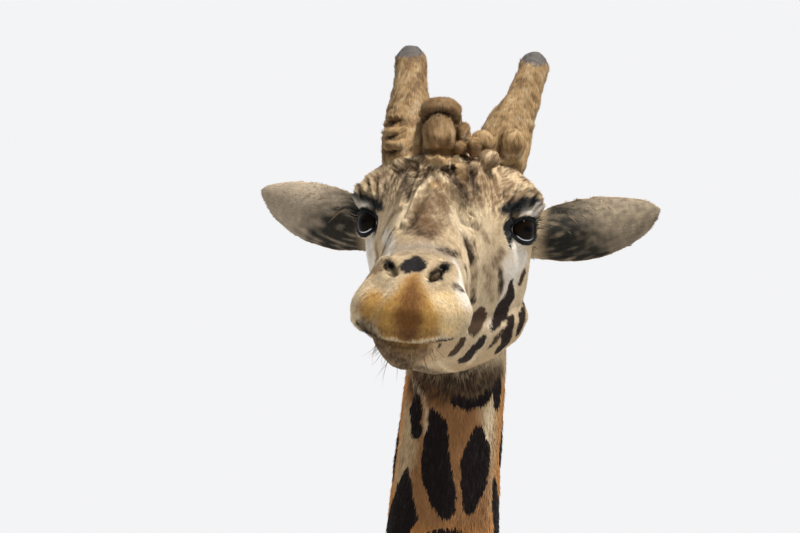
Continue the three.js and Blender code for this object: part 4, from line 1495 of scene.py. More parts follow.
# %% [markdown]
# ## An unwrap of the hide
# Each piece's colours are to be baked into a picture, so skin and coat need a UV map. The hide
# is laid out like a pelt: the head as a disc round the muzzle, neck, trunk, legs and tail as
# strips round their own axes, and the ears flat. The face gets a large share of the square. A
# place's spot depends only on where it is, so every tuft can use the spot of its own root.

# %% The pelt's charts
HEAD_CHART, NECK_CHART, TRUNK_CHART, EAR_CHART, LEG_CHART, TAIL_CHART = 0, 1, 2, 3, 5, 9
# Where the legs' axes stand, and the size of the disc of the face, in mm.
LEG_ASIDE, FORELEG_PLACE, HINDLEG_PLACE = 0.2, -0.05, 1.16
SNOUT, DISC_HEIGHT, DISC_REACH = 380, 115, 800
# Left, bottom, width and height of each chart: head, neck, trunk, two ears, four legs, tail.
CHARTS = np.array(
    [
        (0.005, 0.43, 0.56, 0.56),
        (0.575, 0.43, 0.24, 0.56),
        (0.005, 0.005, 0.56, 0.415),
        (0.825, 0.72, 0.17, 0.27),
        (0.825, 0.43, 0.17, 0.27),
        (0.575, 0.005, 0.085, 0.415),
        (0.665, 0.005, 0.085, 0.415),
        (0.755, 0.005, 0.085, 0.415),
        (0.845, 0.005, 0.085, 0.415),
        (0.935, 0.005, 0.06, 0.415),
    ]
)


def chart_of(points, where):
    """Which chart each place is on."""
    side = points[:, 0] > 0
    front = points[:, 1] < 0.35
    leg = LEG_CHART + 2 * (~front) + side
    chart = np.where(points[:, 2] < 1.86, leg, TRUNK_CHART)
    chart = np.where((points[:, 2] > 2.62) & (points[:, 1] < 0.0), NECK_CHART, chart)
    on_tail = (points[:, 1] > 1.33) & (np.abs(points[:, 0]) < 0.08) & (points[:, 2] < 2.45)
    chart = np.where(on_tail, TAIL_CHART, chart)
    head = (over_throat(where) > -265) & (points[:, 2] > 4.2)
    chart = np.where(head, HEAD_CHART, chart)
    ear = head & (ear_share(where) > 0.5)
    return np.where(ear, EAR_CHART + (where[:, 0] > 0), chart)


def on_ear_chart(chart):
    return (chart == EAR_CHART) | (chart == EAR_CHART + 1)


def turn_and_run(points, chart):
    """Two coordinates from 0 to 1 on each place's own chart. The first may wrap round."""
    x, y, z = points.T
    run = (z - 2.5) / 2.3
    over_neck = y + 0.02 + (z - 2.42) * 0.385
    turn = np.arctan2(x - 0.03 * ramp(z, 3.5, 4.8), -over_neck) / (2 * math.pi)
    aside = x - np.where(x > 0, LEG_ASIDE, -LEG_ASIDE)
    along = y - np.where(y < 0.35, FORELEG_PLACE, HINDLEG_PLACE)
    for here, turned, ran in (
        (chart == TRUNK_CHART, np.arctan2(x, z - 2.3), (y + 0.5) / 1.9),
        ((chart >= LEG_CHART) & (chart < TAIL_CHART), np.arctan2(aside, along), z / 1.9),
        (chart == TAIL_CHART, np.arctan2(x, y - 1.42), (z - 1.45) / 1.1),
    ):
        turn = np.where(here, turned / (2 * math.pi), turn)
        run = np.where(here, ran, run)
    return turn + 0.5, run


def pelt_places(points, normals, chart, middle_turn=None):
    """The spot of each place on the unit square, and how far round its axis it is."""
    where = to_head(points)
    turn, run = turn_and_run(points, chart)
    if middle_turn is not None:
        turn = turn - np.round(turn - middle_turn)
    spot = np.stack([turn, run], axis=1)
    ahead = where[:, 1] - SNOUT
    height = where[:, 2] + DISC_HEIGHT + 0.2 * np.minimum(ahead, 0)
    cap = 75 * np.arctan2(np.hypot(where[:, 0], height), np.maximum(ahead, 0))
    reach = (cap + np.maximum(-ahead, 0)) / DISC_REACH * 0.5
    way = np.arctan2(where[:, 0], height)
    disc = 0.5 + reach[:, None] * np.stack([np.sin(way), np.cos(way)], axis=1)
    spot = np.where((chart == HEAD_CHART)[:, None], disc, spot)
    facing = normals @ head_direction([(0, 1, 0)])[0]
    leaf = np.stack(
        [
            (np.abs(where[:, 0]) - 110) / 205,
            0.25 + 0.5 * (facing < 0) + 0.22 * np.clip((where[:, 2] - 5) / 62, -1, 1),
        ],
        axis=1,
    )
    spot = np.where(on_ear_chart(chart)[:, None], leaf, spot)
    corner, size = CHARTS[chart, :2], CHARTS[chart, 2:]
    return corner + np.clip(spot, 0.004, 0.996) * size, turn


def unwrap(mesh, points, normals):
    """Writes OFBake on the skin, face by face, so that no face spans two charts."""
    corners = len(mesh.loops)
    vertex = np.empty(corners, int)
    mesh.loops.foreach_get("vertex_index", vertex)
    starts = np.empty(len(mesh.polygons), int)
    totals = np.empty(len(mesh.polygons), int)
    mesh.polygons.foreach_get("loop_start", starts)
    mesh.polygons.foreach_get("loop_total", totals)
    face = np.repeat(np.arange(len(starts)), totals)
    centre, facing = (
        np.stack([np.bincount(face, values[vertex, k]) / totals for k in range(3)], axis=1)
        for values in (points, normals)
    )
    chart = chart_of(centre, to_head(centre))
    _, middle = pelt_places(centre, facing, chart)
    on_ear = on_ear_chart(chart[face])[:, None]
    corner_facing = np.where(on_ear, facing[face], normals[vertex])
    spots, _ = pelt_places(points[vertex], corner_facing, chart[face], middle[face])
    add_spots(mesh, spots)


unwrap(skin_data, skin_points, skin_normals)
print("unwrapped", len(skin_data.polygons), "faces")

# %% [markdown]
# ## Skin and hair materials
# Under the coat the hide shows the same pattern: the ground colour, the patches cut out of it
# by their depth, and fine streaks. Hair is nearly dull, with hardly any sheen, and every hair is
# a shade lighter or darker than its neighbour.

# %% Materials of hide and hair
hide_material, tree, shader = new_material("hide", 0.72, specular=0.15, sheen=0.05)
edge = rescale(tree, attribute(tree, "patch_depth", "Fac"), -0.0012, 0.0012, 0, 1)
hide = blend(tree, attribute(tree, "ground", "Color"), attribute(tree, "patch_colour", "Color"), edge)
streak = rescale(tree, noise(tree, 320, 2.0, (1, 1, 0.25)), 0.3, 0.7, 0.72, 1.12)
scaled_base(tree, shader, hide, streak)
bumps(tree, shader, noise(tree, 420, 2.0, (1, 1, 0.3)), 0.0008, 0.5)
skin_data.materials.append(hide_material)

hair_material, tree, shader = new_material("short_hair", 0.7, specular=0.07, sheen=0.02)
shade = rescale(tree, noise(tree, 900, 1.0), 0.3, 0.7, 0.86, 1.12)
scaled_base(tree, shader, attribute(tree, "hair_colour", "Color"), shade)

# %% [markdown]
# ## Which way the hair lies
# Hair is what the eye reads on an animal, so it has to be combed. On the head a few places are
# given with the way their hair points; in between, the ways are blended by distance. On the body
# the hair lies back and down the neck and trunk and straight down the legs.

# %% The comb
# A place, and the way the hair points there: on the middle line, and once for both sides.
HEAD_COMB = [
    ((0, 120, 80), (0, 0.6, -0.8)),
    ((0, 60, 110), (0, -0.2, 1)),
    ((0, -60, 100), (0, -1, 0.3)),
    ((0, 250, 10), (0, 0.9, -0.45)),
    ((0, 350, -35), (0, 0.8, -0.6)),
    ((0, 405, -70), (0, 0.2, -1)),
    ((0, 465, -125), (0, 0, -1)),
    ((78, 415, -130), (0.8, -0.4, -0.7)),
    ((-76, 415, -130), (-0.8, -0.4, -0.7)),
    ((0, 60, -222), (0, -1, -0.1)),
    ((0, 300, -205), (0, -1, -0.2)),
    ((0, 420, -185), (0, -0.3, -1)),
    ((0, -140, -200), (0, -0.6, -0.8)),
    ((0, -230, -20), (0, -0.5, -0.9)),
    ((0, -150, 70), (0, -1, -0.2)),
    ((0, -100, -330), (0, -0.1, -1)),
]
SIDE_COMB = [
    ((45, 435, -105), (0.7, 0.1, -0.8)),
    ((125, 5, 45), (0.8, -0.4, 0.5)),
    ((70, 60, 80), (0.4, -0.2, 0.9)),
    ((85, 100, 30), (0.5, 0.1, 0.4)),
    ((110, 40, -45), (0.3, -0.5, -0.8)),
    ((105, -60, -110), (0, -0.6, -0.8)),
    ((72, 220, -60), (0, 0.25, -1)),
    ((70, 120, -130), (0, -0.4, -0.9)),
]
HEAD_COMB += [((s * x, y, z), (s * a, b, c)) for (x, y, z), (a, b, c) in SIDE_COMB for s in (1, -1)]
COMB_REACH = 62


def combed(points, where, normals):
    """Unit directions in which the hair lies, tangent to the skin."""
    weight = np.zeros(len(where))
    head_way = np.zeros((len(where), 3))
    for place, way in HEAD_COMB:
        near = np.exp(-((where - place) ** 2).sum(1) / (2 * COMB_REACH**2)) + 1e-9
        head_way += near[:, None] * np.array(way) / np.linalg.norm(way)
        weight += near
    head_way /= weight[:, None]
    side = np.sign(where[:, :1])
    ear_way = side * (1, 0, 0) + (0, -0.35, 0.15)
    head_way = mixed(head_way, ear_way, ear_share(where))
    way = head_direction(head_way)
    body = np.tile((0.0, 0.8, -0.55), (len(points), 1))
    body = mixed(body, np.array((0, 0.25, -1.0)), ramp(points[:, 2], 2.6, 3.2))
    body = mixed(body, np.array((0, 0.12, -1.0)), ramp(-points[:, 2], -1.95, -1.6))
    way = mixed(body, way, ramp(over_throat(where), -290, -240) * (points[:, 2] > 4.2))
    return laid(way, normals)


# %% [markdown]
# ## The coat
# Each tuft is a thin closed spike of four faces, widest at its root, that leans out of the skin a
# little and tapers to a point. One made by hand would be `create_cone`; hundreds of thousands are
# made at once from arrays, which gives the same mesh. They overlap like shingles, are shortest on
# the muzzle and get longer and broader down the body. Their normals are bent towards the skin's,
# so light runs over the coat softly, as over fur. The tufts are dealt out like cards into a few
# pieces, so that each piece spans the animal and none is too heavy.

# %% Sowing the tufts
TUFTS_PER_PIECE = 46000
# How large a hair is on the baked picture, whose side is 1.
SPOT_SIZE = 0.003
# A tuft's corners are its root's two sides, its back and its tip, each with its own shade.
TUFT_FACES = np.array([(0, 1, 3), (0, 3, 2), (3, 1, 2), (1, 0, 2)])
TUFT_SHADES = np.array((0.86, 0.86, 0.97, 1.08))


def surface(mesh):
    """The triangles of a mesh, their corners' points and normals, and their areas."""
    mesh.calc_loop_triangles()
    triangles = np.empty(len(mesh.loop_triangles) * 3, int)
    mesh.loop_triangles.foreach_get("vertices", triangles)
    triangles = triangles.reshape(-1, 3)
    points = points_of(mesh)
    a, b, c = points[triangles[:, 0]], points[triangles[:, 1]], points[triangles[:, 2]]
    area = np.linalg.norm(np.cross(b - a, c - a), axis=1) / 2
    return triangles, points, normals_of(mesh), area


def sow(mesh, per_area, random):
    """Random places on a mesh, so many to the square metre on each triangle."""
    triangles, points, normals, area = surface(mesh)
    middle = points[triangles].mean(1)
    wanted = per_area(middle, normals[triangles[:, 0]]) * area
    count = np.floor(wanted + random.random(len(wanted))).astype(int)
    chosen = np.repeat(np.arange(len(triangles)), count)
    share = random.random((len(chosen), 2))
    flip = share.sum(1) > 1
    share[flip] = 1 - share[flip]
    weights = np.stack([1 - share.sum(1), share[:, 0], share[:, 1]], axis=1)[:, :, None]
    corners = triangles[chosen]

    def carried(values):
        return (values[corners] * weights.reshape(-1, 3, *(1,) * (values.ndim - 1))).sum(1)

    return carried(points), unit(carried(normals)), carried


def repeated_mesh(name, corners, faces):
    """One mesh that has the same few triangles for every row of corners."""
    count, size = corners.shape[:2]
    loops = (faces[None] + size * np.arange(count)[:, None, None]).reshape(-1)
    total = len(loops) // 3
    mesh = bpy.data.meshes.new(name)
    mesh.vertices.add(size * count)
    mesh.loops.add(3 * total)
    mesh.polygons.add(total)
    mesh.vertices.foreach_set("co", corners.astype(np.float32).ravel())
    mesh.loops.foreach_set("vertex_index", loops.astype(np.int32))
    mesh.polygons.foreach_set("loop_start", (3 * np.arange(total)).astype(np.int32))
    mesh.polygons.foreach_set("use_smooth", np.ones(total, bool))
    mesh.update(calc_edges=True)
    return mesh


def tuft_mesh(name, roots, facing, way, length, width, lean, colour, spots):
    """Many four-faced spikes as one mesh, with their colours, normals and baking spots."""
    across = np.cross(facing, way)
    half = (width / 2)[:, None]
    rise = facing * (width * 0.42)[:, None]
    point_way = way * np.cos(lean)[:, None] + facing * np.sin(lean)[:, None]
    tip = roots + point_way * length[:, None]
    sunk = facing * (width * 0.12)[:, None]
    corners = np.stack(
        [roots - across * half - sunk, roots + across * half - sunk, roots + rise, tip], axis=1
    )
    mesh = repeated_mesh(name, corners, TUFT_FACES)
    bent = np.stack(
        [facing - 0.28 * across, facing + 0.28 * across, facing, facing + 0.25 * way], axis=1
    )
    bent /= np.linalg.norm(bent, axis=2, keepdims=True)
    mesh.normals_split_custom_set_from_vertices(bent.reshape(-1, 3).tolist())
    tints = np.clip(colour[:, None] * TUFT_SHADES[:, None], 0, 1)
    add_colour(mesh, "hair_colour", tints.reshape(-1, 3))
    offsets = SPOT_SIZE / 2 * np.array([(-1, -1), (1, -1), (0, 0), (0, 1)])
    add_spots(mesh, (spots[:, None] + offsets)[:, TUFT_FACES.ravel()])
    return mesh


def coat_density(points, facing):
    """Tufts to the square metre: enough that they overlap, more so on the head."""
    where = to_head(points)
    length = hair_length(points, where)
    head = ramp(points[:, 2], 3.6, 4.6)
    cover = COVER_BODY + (COVER_HEAD - COVER_BODY) * head
    bare = ramp(lid_margin(where), 1.5, 4)
    for line, width, _ in NOSTRILS:
        bare = bare * ramp(line_distance(where, line), width * 0.7, width * 1.5)
    return bare * cover / (length * tuft_width(points, length) / 2)


def tuft_width(points, length):
    return length * (0.19 + 0.02 * ramp(-points[:, 2], -3.4, -2.6))


COVER_HEAD = 1.22
COVER_BODY = 0.60
random = np.random.default_rng(3)
roots, facing, carried = sow(skin_data, coat_density, random)
where = to_head(roots)
length = hair_length(roots, where)
ground, depth, patch = hide_colours(roots, facing)
soft = 0.0006 + 0.0012 * ramp(-roots[:, 2], -4.4, -3.4)
colour = mixed(ground, patch, ramp(depth + soft * random.normal(size=len(depth)), -soft, soft))
way = combed(roots, where, facing)
swirl = random.normal(0, 0.16, len(roots))[:, None]
way = way * np.cos(swirl) + np.cross(facing, way) * np.sin(swirl)
print("tufts:", len(roots), "of which on the head:", int((roots[:, 2] > 4.6).sum()))

# %% Lips, brows and single hairs
# Orange bristles on dark roots give the lip its pores; elsewhere hairs vary in shade at random, and in
# the head's creases and pits they get painted shade.
lip = ramp(where[:, 1] - 0.6 * where[:, 2], 455, 490) * ramp(where[:, 2], -175, -165)
pores = ripple(where, 5.0, 51, 16)
dark_root = lip * ramp(pores, 0.5, 1.3)
colour = mixed(colour, COLOURS["umber"], 0.32 * dark_root)
shade = 1 + random.normal(0, 0.10, len(roots))
# Painted shade: hairs rooted in the head's creases and pits are darkened.
shade = np.clip(shade, 0.55, 1.5) * (1 - 0.6 * carried(skin_crease_shade))
colour = np.clip(colour * shade[:, None], 0, 1)
length = length * random.uniform(0.75, 1.15, len(roots))
width = tuft_width(roots, length)
lean = np.abs(random.normal(0.20, 0.07, len(roots))) + 0.03
on_ear = ear_share(where)
edge_on = ramp(0.55 - np.abs(facing @ head_direction([(0, 1, 0)])[0]), 0, 0.3)
lean = lean * (1 - 0.7 * on_ear)
length = length * (1 - 0.5 * on_ear * edge_on) * (1 - 0.4 * np.exp(-((depth / 0.006) ** 2)))
chart = chart_of(roots, where)
spots, _ = pelt_places(roots, facing, chart)

piece_count = int(np.ceil(len(roots) / TUFTS_PER_PIECE))
for number in range(piece_count):
    share = slice(number, None, piece_count)
    mesh = tuft_mesh(
        f"coat_{number + 1}",
        *(values[share] for values in (roots, facing, way, length, width, lean, colour, spots)),
    )
    mesh.materials.append(hair_material)
    add_piece(mesh.name, mesh, "coat")
print("coat pieces:", piece_count, "triangles in each:", 4 * len(roots[share]))

# %% [markdown]
# ## Horns and boss
# A bull carries two bony horns and a third boss between them, all covered in skin and hair, with
# bare worn tips. Old bulls grow extra lumps of bone round their roots. Each horn is a row of
# overlapping `create_uvsphere` balls of changing size, and the lumps are more of them. The
# voxel remesh melts the balls into one form with soft creases, which is how they really grow.

# %% Horns of balls melted together
HORN_VOXEL = 0.0032
HORN_STEP = 5.0
HORN_SKIN = 2.2
# Places (x, forward, up, radius) from the tip down.
HORN_LINES = {
    "right": [
        (-89, -178, 257, 24),
        (-87, -170, 250, 26),
        (-84, -153, 239, 26),
        (-82, -137, 223, 26),
        (-80, -122, 207, 28),
        (-78, -106, 191, 31),
        (-76, -88, 172, 35),
        (-73, -68, 152, 37),
        (-71, -46, 131, 38),
        (-69, -24, 110, 38),
        (-68, -10, 90, 36),
    ],
    "left": [
        (102, -178, 255, 24),
        (103, -168, 248, 24),
        (103, -158, 242, 24),
        (100, -144, 230, 24),
        (97, -128, 213, 26),
        (94, -112, 197, 28),
        (89, -95, 179, 30),
        (81, -78, 161, 36),
        (77, -58, 141, 40),
        (76, -38, 121, 40),
        (78, -18, 100, 36),
    ],
    "middle": [(-6, 74, 110, 30), (-7, 80, 150, 30)],
}
# Extra bone: (x, forward, up) and the three radii of each ball.
HORN_BALLS = {
    "right": [
        ((-97, -62, 165), (9, 15, 7)),
        ((-98, -48, 148), (10, 17, 8)),
        ((-97, -32, 128), (11, 19, 9)),
        ((-95, -16, 108), (11, 17, 8)),
        ((-84, -32, 158), (20, 16, 7)),
        ((-82, -12, 136), (24, 17, 8)),
        ((-76, 6, 116), (26, 18, 9)),
        ((-97, -92, 190), (6, 12, 6)),
    ],
    "left": [
        ((92, 2, 126), (20, 26, 24)),
        ((50, 34, 126), (19, 26, 19)),
        ((111, -60, 158), (7, 14, 9)),
        ((108, -40, 138), (8, 16, 9)),
        ((106, -22, 112), (9, 16, 9)),
        ((115, -90, 186), (5, 11, 6)),
        ((70, 6, 100), (22, 20, 12)),
    ],
    "middle": [
        ((-7, 76, 142), (32, 36, 48)),
        ((-7, 92, 170), (31, 32, 20)),
        ((-36, 84, 118), (10, 28, 34)),
        ((28, 82, 130), (10, 28, 24)),
        ((44, 92, 118), (10, 20, 16)),
        ((-6, 100, 112), (24, 24, 18)),
        ((-5, 124, 135), (23, 25, 24)),
        ((-4, 130, 128), (22, 22, 18)),
        ((24, 114, 116), (8, 14, 8)),
    ],
}
# Furrows pressed in after the melting: line, width and depth.
HORN_FURROWS = {
    "right": [
        ([(-110, -70, 172), (-92, -40, 176), (-70, -36, 182)], 3, 2.5),
        ([(-112, -52, 157), (-92, -20, 152), (-58, -14, 166)], 3.5, 4),
        ([(-112, -36, 137), (-92, -2, 128), (-52, 6, 150)], 3.5, 4),
        ([(-110, -20, 117), (-88, 14, 104), (-52, 20, 126)], 3.5, 4),
    ],
    "left": [
        ([(62, 22, 146), (78, 14, 134), (74, 20, 106)], 4, 4),
        ([(112, -6, 142), (114, -2, 122), (104, 12, 104)], 3.5, 3),
        ([(120, -74, 172), (104, -44, 168), (84, -44, 170)], 3, 2),
        ([(118, -52, 148), (110, -26, 146)], 3, 2.5),
    ],
    "middle": [
        ([(-31, 100, 152), (-20, 116, 160), (-5, 122, 163), (10, 116, 160), (21, 100, 152)], 4.5, 10),
        ([(-31, 110, 150), (-30, 116, 130), (-24, 122, 112)], 4, 5),
        ([(23, 108, 152), (24, 112, 138), (14, 124, 118)], 4, 5),
        ([(-28, 128, 108), (-6, 140, 106), (16, 130, 108)], 5, 7),
        ([(33, 102, 134), (30, 112, 112)], 3.5, 4),
    ],
}


def resampled(line, step):
    """Places every `step` along a line, by linear interpolation."""
    line = np.array(line, float)
    run = np.concatenate([[0], np.cumsum(np.linalg.norm(np.diff(line[:, :3], axis=0), axis=1))])
    at = np.linspace(0, run[-1], int(run[-1] / step) + 1)
    return np.stack([np.interp(at, run, column) for column in line.T], axis=1)


def horn_mesh(name):
    balls = bmesh.new()
    for x, forward, up, radius in resampled(HORN_LINES[name], HORN_STEP):
        add_ball(balls, (x, forward, up), (radius - HORN_SKIN,) * 3)
    for centre, radii in HORN_BALLS[name]:
        add_ball(balls, centre, np.array(radii) - 0.6 * HORN_SKIN)
    mesh = remeshed(balls, f"horn_{name}_bone", HORN_VOXEL)
    points = smoothed(points_of(mesh), edges_of(mesh), np.ones(len(mesh.vertices)), 10)
    set_points(mesh, points)
    where = to_head(points)
    push = 0.5 * ripple(where, 22, 71, 14) + 0.2 * ripple(where, 8, 72, 14)
    for line, width, depth in HORN_FURROWS[name]:
        push = push - fold(where, line, width, depth, 0.4)
    points = points + normals_of(mesh) * (push / 1000)[:, None]
    set_points(mesh, points)
    return mesh


def horn_cap(where, name):
    """1 on the bare, worn tip of a horn and 0 below it, with a ragged edge."""
    if name == "middle":
        return np.zeros(len(where))
    tip = np.array(HORN_LINES[name][0][:3], float)
    rise = (where - tip) @ (0.1 if name == "left" else -0.1, 0.15, 1)
    return ramp(rise + 2.0 * ripple(where, 8, 74, 12), 1, 7)


def horn_colours(where, name):
    """Tan hair, browner towards the roots and in streaks, and the dark skin of the tip."""
    streaks = ripple(where * (1, 1, 0.35), 9, 81, 16)
    clouds = ripple(where, 30, 82, 12)
    colour = np.tile(COLOURS["tan"] * 0.95, (len(where), 1))
    colour = mixed(colour, COLOURS["brown"], 0.75 * ramp(streaks * 0.6 + clouds * 0.7, 0.0, 1.3))
    colour = mixed(colour, COLOURS["cream"] * 0.8, 0.5 * ramp(-streaks * 0.6 - clouds * 0.5, 0.4, 1.4))
    if name == "middle":
        dim = 0.82 - 0.3 * ramp(where[:, 2], 138, 152)
        colour = mixed(colour * dim[:, None], COLOURS["rust"] * 0.6, np.full(len(where), 0.3))
    else:
        colour = colour * (0.82 - 0.18 * ramp(where[:, 2], 130, 170))[:, None]
    return mixed(colour, COLOURS["horn_tip"], horn_cap(where, name))


HORN_HAIR = 0.0075
HORN_HAIR_WIDTH = HORN_HAIR * 0.17
HORN_COVER = 1.3
horn_material, tree, shader = new_material("horn_skin", 0.6, specular=0.25, sheen=0.04)
shade = rescale(tree, noise(tree, 260, 3.0), 0.3, 0.7, 0.7, 1.25)
scaled_base(tree, shader, attribute(tree, "ground", "Color"), shade)
bumps(tree, shader, noise(tree, 300, 3.0), 0.0015, 0.7)

horn_batches = []
for number, (name, node) in enumerate(
    (("right", "horn_right"), ("left", "horn_left"), ("middle", "horn_middle"))
):
    mesh = horn_mesh(name)
    points = points_of(mesh)
    where = to_head(points)
    # Painted shade: the horn's colours darken in the creases and pits of its melted bone.
    hollow = hollows(mesh, 4, 0.0002, 0.0016)
    add_colour(mesh, "ground", horn_colours(where, name) * (1 - 0.85 * hollow[:, None]))
    mesh.materials.append(horn_material)
    horn = add_piece(f"{name}_horn", mesh, "horn_coat", node)

    def horn_density(middle, normal):
        bare = 1 - horn_cap(to_head(middle), name)
        return HORN_COVER * (0.1 + 0.9 * bare) / (HORN_HAIR * HORN_HAIR_WIDTH / 2)

    horn_roots, horn_facing, horn_carried = sow(mesh, horn_density, random)
    where = to_head(horn_roots)
    up_way = np.tile((0.0, -0.25, 1.0), (len(where), 1))
    if name == "middle":
        up_way = (where - (-4, 120, 132)) * (1, 0.2, 1) + (0, 0, 14)
    else:
        up_way = up_way + 0.6 * np.stack(
            [ripple(where, 26, 91, 8), 0 * where[:, 0], 0.4 * ripple(where, 26, 92, 8)], axis=1
        ) * ramp(-where[:, 2], -190, -130)[:, None]
    horn_way = laid(head_direction(up_way), horn_facing)
    shade = np.clip(1 + random.normal(0, 0.17, len(where)), 0.5, 1.5)
    # Painted shade: hairs in the horn's creases are darkened.
    shade = shade * (1 - 0.85 * horn_carried(hollow))
    tint = np.clip(horn_colours(where, name) * shade[:, None], 0, 1)
    cap = horn_cap(where, name)
    tall = HORN_HAIR * random.uniform(0.7, 1.25, len(where)) * (1 - 0.6 * cap)
    middle = where.mean(0)
    turn = np.arctan2(where[:, 0] - middle[0], where[:, 1] - middle[1]) / (2 * math.pi) + 0.5
    rise = (where[:, 2] - 60) / 240
    spots = np.stack([(number + 0.02 + 0.96 * turn) / 3, np.clip(rise, 0.01, 0.99)], axis=1)
    lean = np.abs(random.normal(0.20, 0.10, len(where)))
    horn_batches.append(
        (horn_roots, horn_facing, horn_way, tall, tall * 0.17, lean, tint, spots)
    )
    print(horn.name, "triangles:", 2 * len(mesh.polygons), "tufts:", len(horn_roots))

mesh = tuft_mesh("horn_hair", *(np.concatenate(column) for column in zip(*horn_batches)))
mesh.materials.append(hair_material)
add_piece("horn_hair", mesh, "horn_coat")

# %% [markdown]
# ## Eyes
# Large, dark and wet. Each is a fine ball whose iris and pupil are drawn by how far round the
# ball a place is from the line of sight, stored on its corners, so that both stay crisp. The
# pupil is a lying oval. The clear front of the eye bulges a little out of the white, and a painted
# highlight, a pale line standing for the sky's reflection in the wet eye, runs along the lower lid.

# %% Eyes
GAZE = (0.66, 0.74, 0.04)
IRIS_EDGE = 53.0
CORNEA_RISE = 1.3
PUPIL_EDGE = (17.0**2, 19.0**2)
eye_material, tree, shader = new_material("wet_eye", 0.05, specular=0.06)
away = attribute(tree, "from_gaze", "Fac")
sideways = attribute(tree, "gaze_side", "Fac")
upwards = attribute(tree, "gaze_up", "Fac")
fibres = rescale(tree, noise(tree, 700, 2.0), 0.3, 0.7, 0, 1)
iris = blend(tree, (0.003, 0.002, 0.001), (0.009, 0.004, 0.002), fibres)
iris_rim = rescale(tree, away, IRIS_EDGE - 9, IRIS_EDGE - 1, 0, 1)
iris = blend(tree, iris, (0.004, 0.003, 0.003), iris_rim)
past_iris = rescale(tree, away, IRIS_EDGE, IRIS_EDGE + 3.5, 0, 1)
white = blend(tree, (0.020, 0.012, 0.010), (0.62, 0.56, 0.52), past_iris)
veins = rescale(tree, noise(tree, 500, 4.0), 0.60, 0.72, 0, 0.5)
white = blend(tree, white, (0.40, 0.16, 0.12), veins)
ball = blend(tree, iris, white, rescale(tree, away, IRIS_EDGE - 0.6, IRIS_EDGE + 0.6, 0, 1))
oval = add_node(tree, "ShaderNodeMath", operation="MULTIPLY")
oval.inputs[1].default_value = 2.0
tree.links.new(upwards, oval.inputs[0])
squares = []
for value in (sideways, oval.outputs[0]):
    square = add_node(tree, "ShaderNodeMath", operation="POWER")
    square.inputs[1].default_value = 2.0
    tree.links.new(value, square.inputs[0])
    squares.append(square.outputs[0])
pupil = rescale(tree, summed(tree, *squares), *PUPIL_EDGE, 1, 0)
ball = blend(tree, ball, (0.001, 0.001, 0.002), pupil)
# Painted highlight: a pale line along the lower lid stands for the sky's reflection in the wet eye.
glint = rescale(tree, attribute(tree, "tear_glint", "Fac"), 0.45, 0.7, 0, 1)
ball = blend(tree, ball, (0.72, 0.70, 0.72), glint)
tree.links.new(ball, shader.inputs["Base Color"])


def degrees_off(values):
    return np.degrees(np.arcsin(np.clip(values, -1, 1)))


for side, name in ((1, "left"), (-1, "right")):
    eye_mesh = bmesh.new()
    bmesh.ops.create_uvsphere(eye_mesh, u_segments=96, v_segments=64, radius=1)
    mesh = bpy.data.meshes.new(f"{name}_eyeball")
    eye_mesh.to_mesh(mesh)
    eye_mesh.free()
    out = points_of(mesh)
    gaze = unit([(side * GAZE[0], *GAZE[1:])])[0]
    across = unit([np.cross(gaze, (0, 0, 1))])[0]
    over = np.cross(across, gaze)
    angle = np.degrees(np.arccos(np.clip(out @ gaze, -1, 1)))
    lid_places, _ = lid_angles(EYE_OUT[side] + out * EYEBALL_RADIUS, side)
    gap, _ = lid_gap(lid_places)
    # Where the painted reflection lies: a thin band just inside the lower lid.
    low = ramp(-lid_places[:, 1] - 0.35 * lid_places[:, 0], -4, 12)
    tear_glint = low * (1 - np.abs(gap + 2.6) / 2.2)
    radius = EYEBALL_RADIUS + CORNEA_RISE * np.clip(1 - (angle / IRIS_EDGE) ** 2, 0, 1)
    set_points(mesh, from_head(EYE_OUT[side] + out * radius[:, None]))
    for layer_name, values in (
        ("from_gaze", angle),
        ("tear_glint", np.clip(tear_glint, 0, 1)),
        ("gaze_side", degrees_off(out @ across)),
        ("gaze_up", degrees_off(out @ over)),
    ):
        add_values(mesh, layer_name, values)
    mesh.materials.append(eye_material)
    add_piece(mesh.name, mesh, "eye", f"eye_{name}")
print("eyes set")

# %% [markdown]
# ## Hooves
# Each foot has two toes in hard horn, with rings of growth and fine lengthwise fibres. The CAD's
# facets are melted and smoothed, the sole is kept flat on the ground, and rings are pressed in.

# %% Hooves
HOOF_VOXEL = 0.0042
RING_DEPTH = 0.0006
RING_SPACING = 0.0035
hoof_material, tree, shader = new_material("hoof_horn", 0.45)
rings = noise(tree, 60, 3.0, (0.15, 0.15, 1.6))
fibres = noise(tree, 300, 2.0, (1, 1, 0.12))
ringed = rescale(tree, rings, 0.35, 0.65, 0, 1)
fibrous = rescale(tree, fibres, 0.55, 0.75, 0, 0.35)
horn_colour = blend(tree, (0.055, 0.040, 0.030), (0.16, 0.125, 0.095), ringed)
horn_colour = blend(tree, horn_colour, (0.30, 0.25, 0.19), fibrous)
tree.links.new(horn_colour, shader.inputs["Base Color"])
tree.links.new(rescale(tree, fibres, 0.3, 0.7, 0.35, 0.62), shader.inputs["Roughness"])
bumps(tree, shader, summed(tree, rings, fibres), 0.002, 0.6)

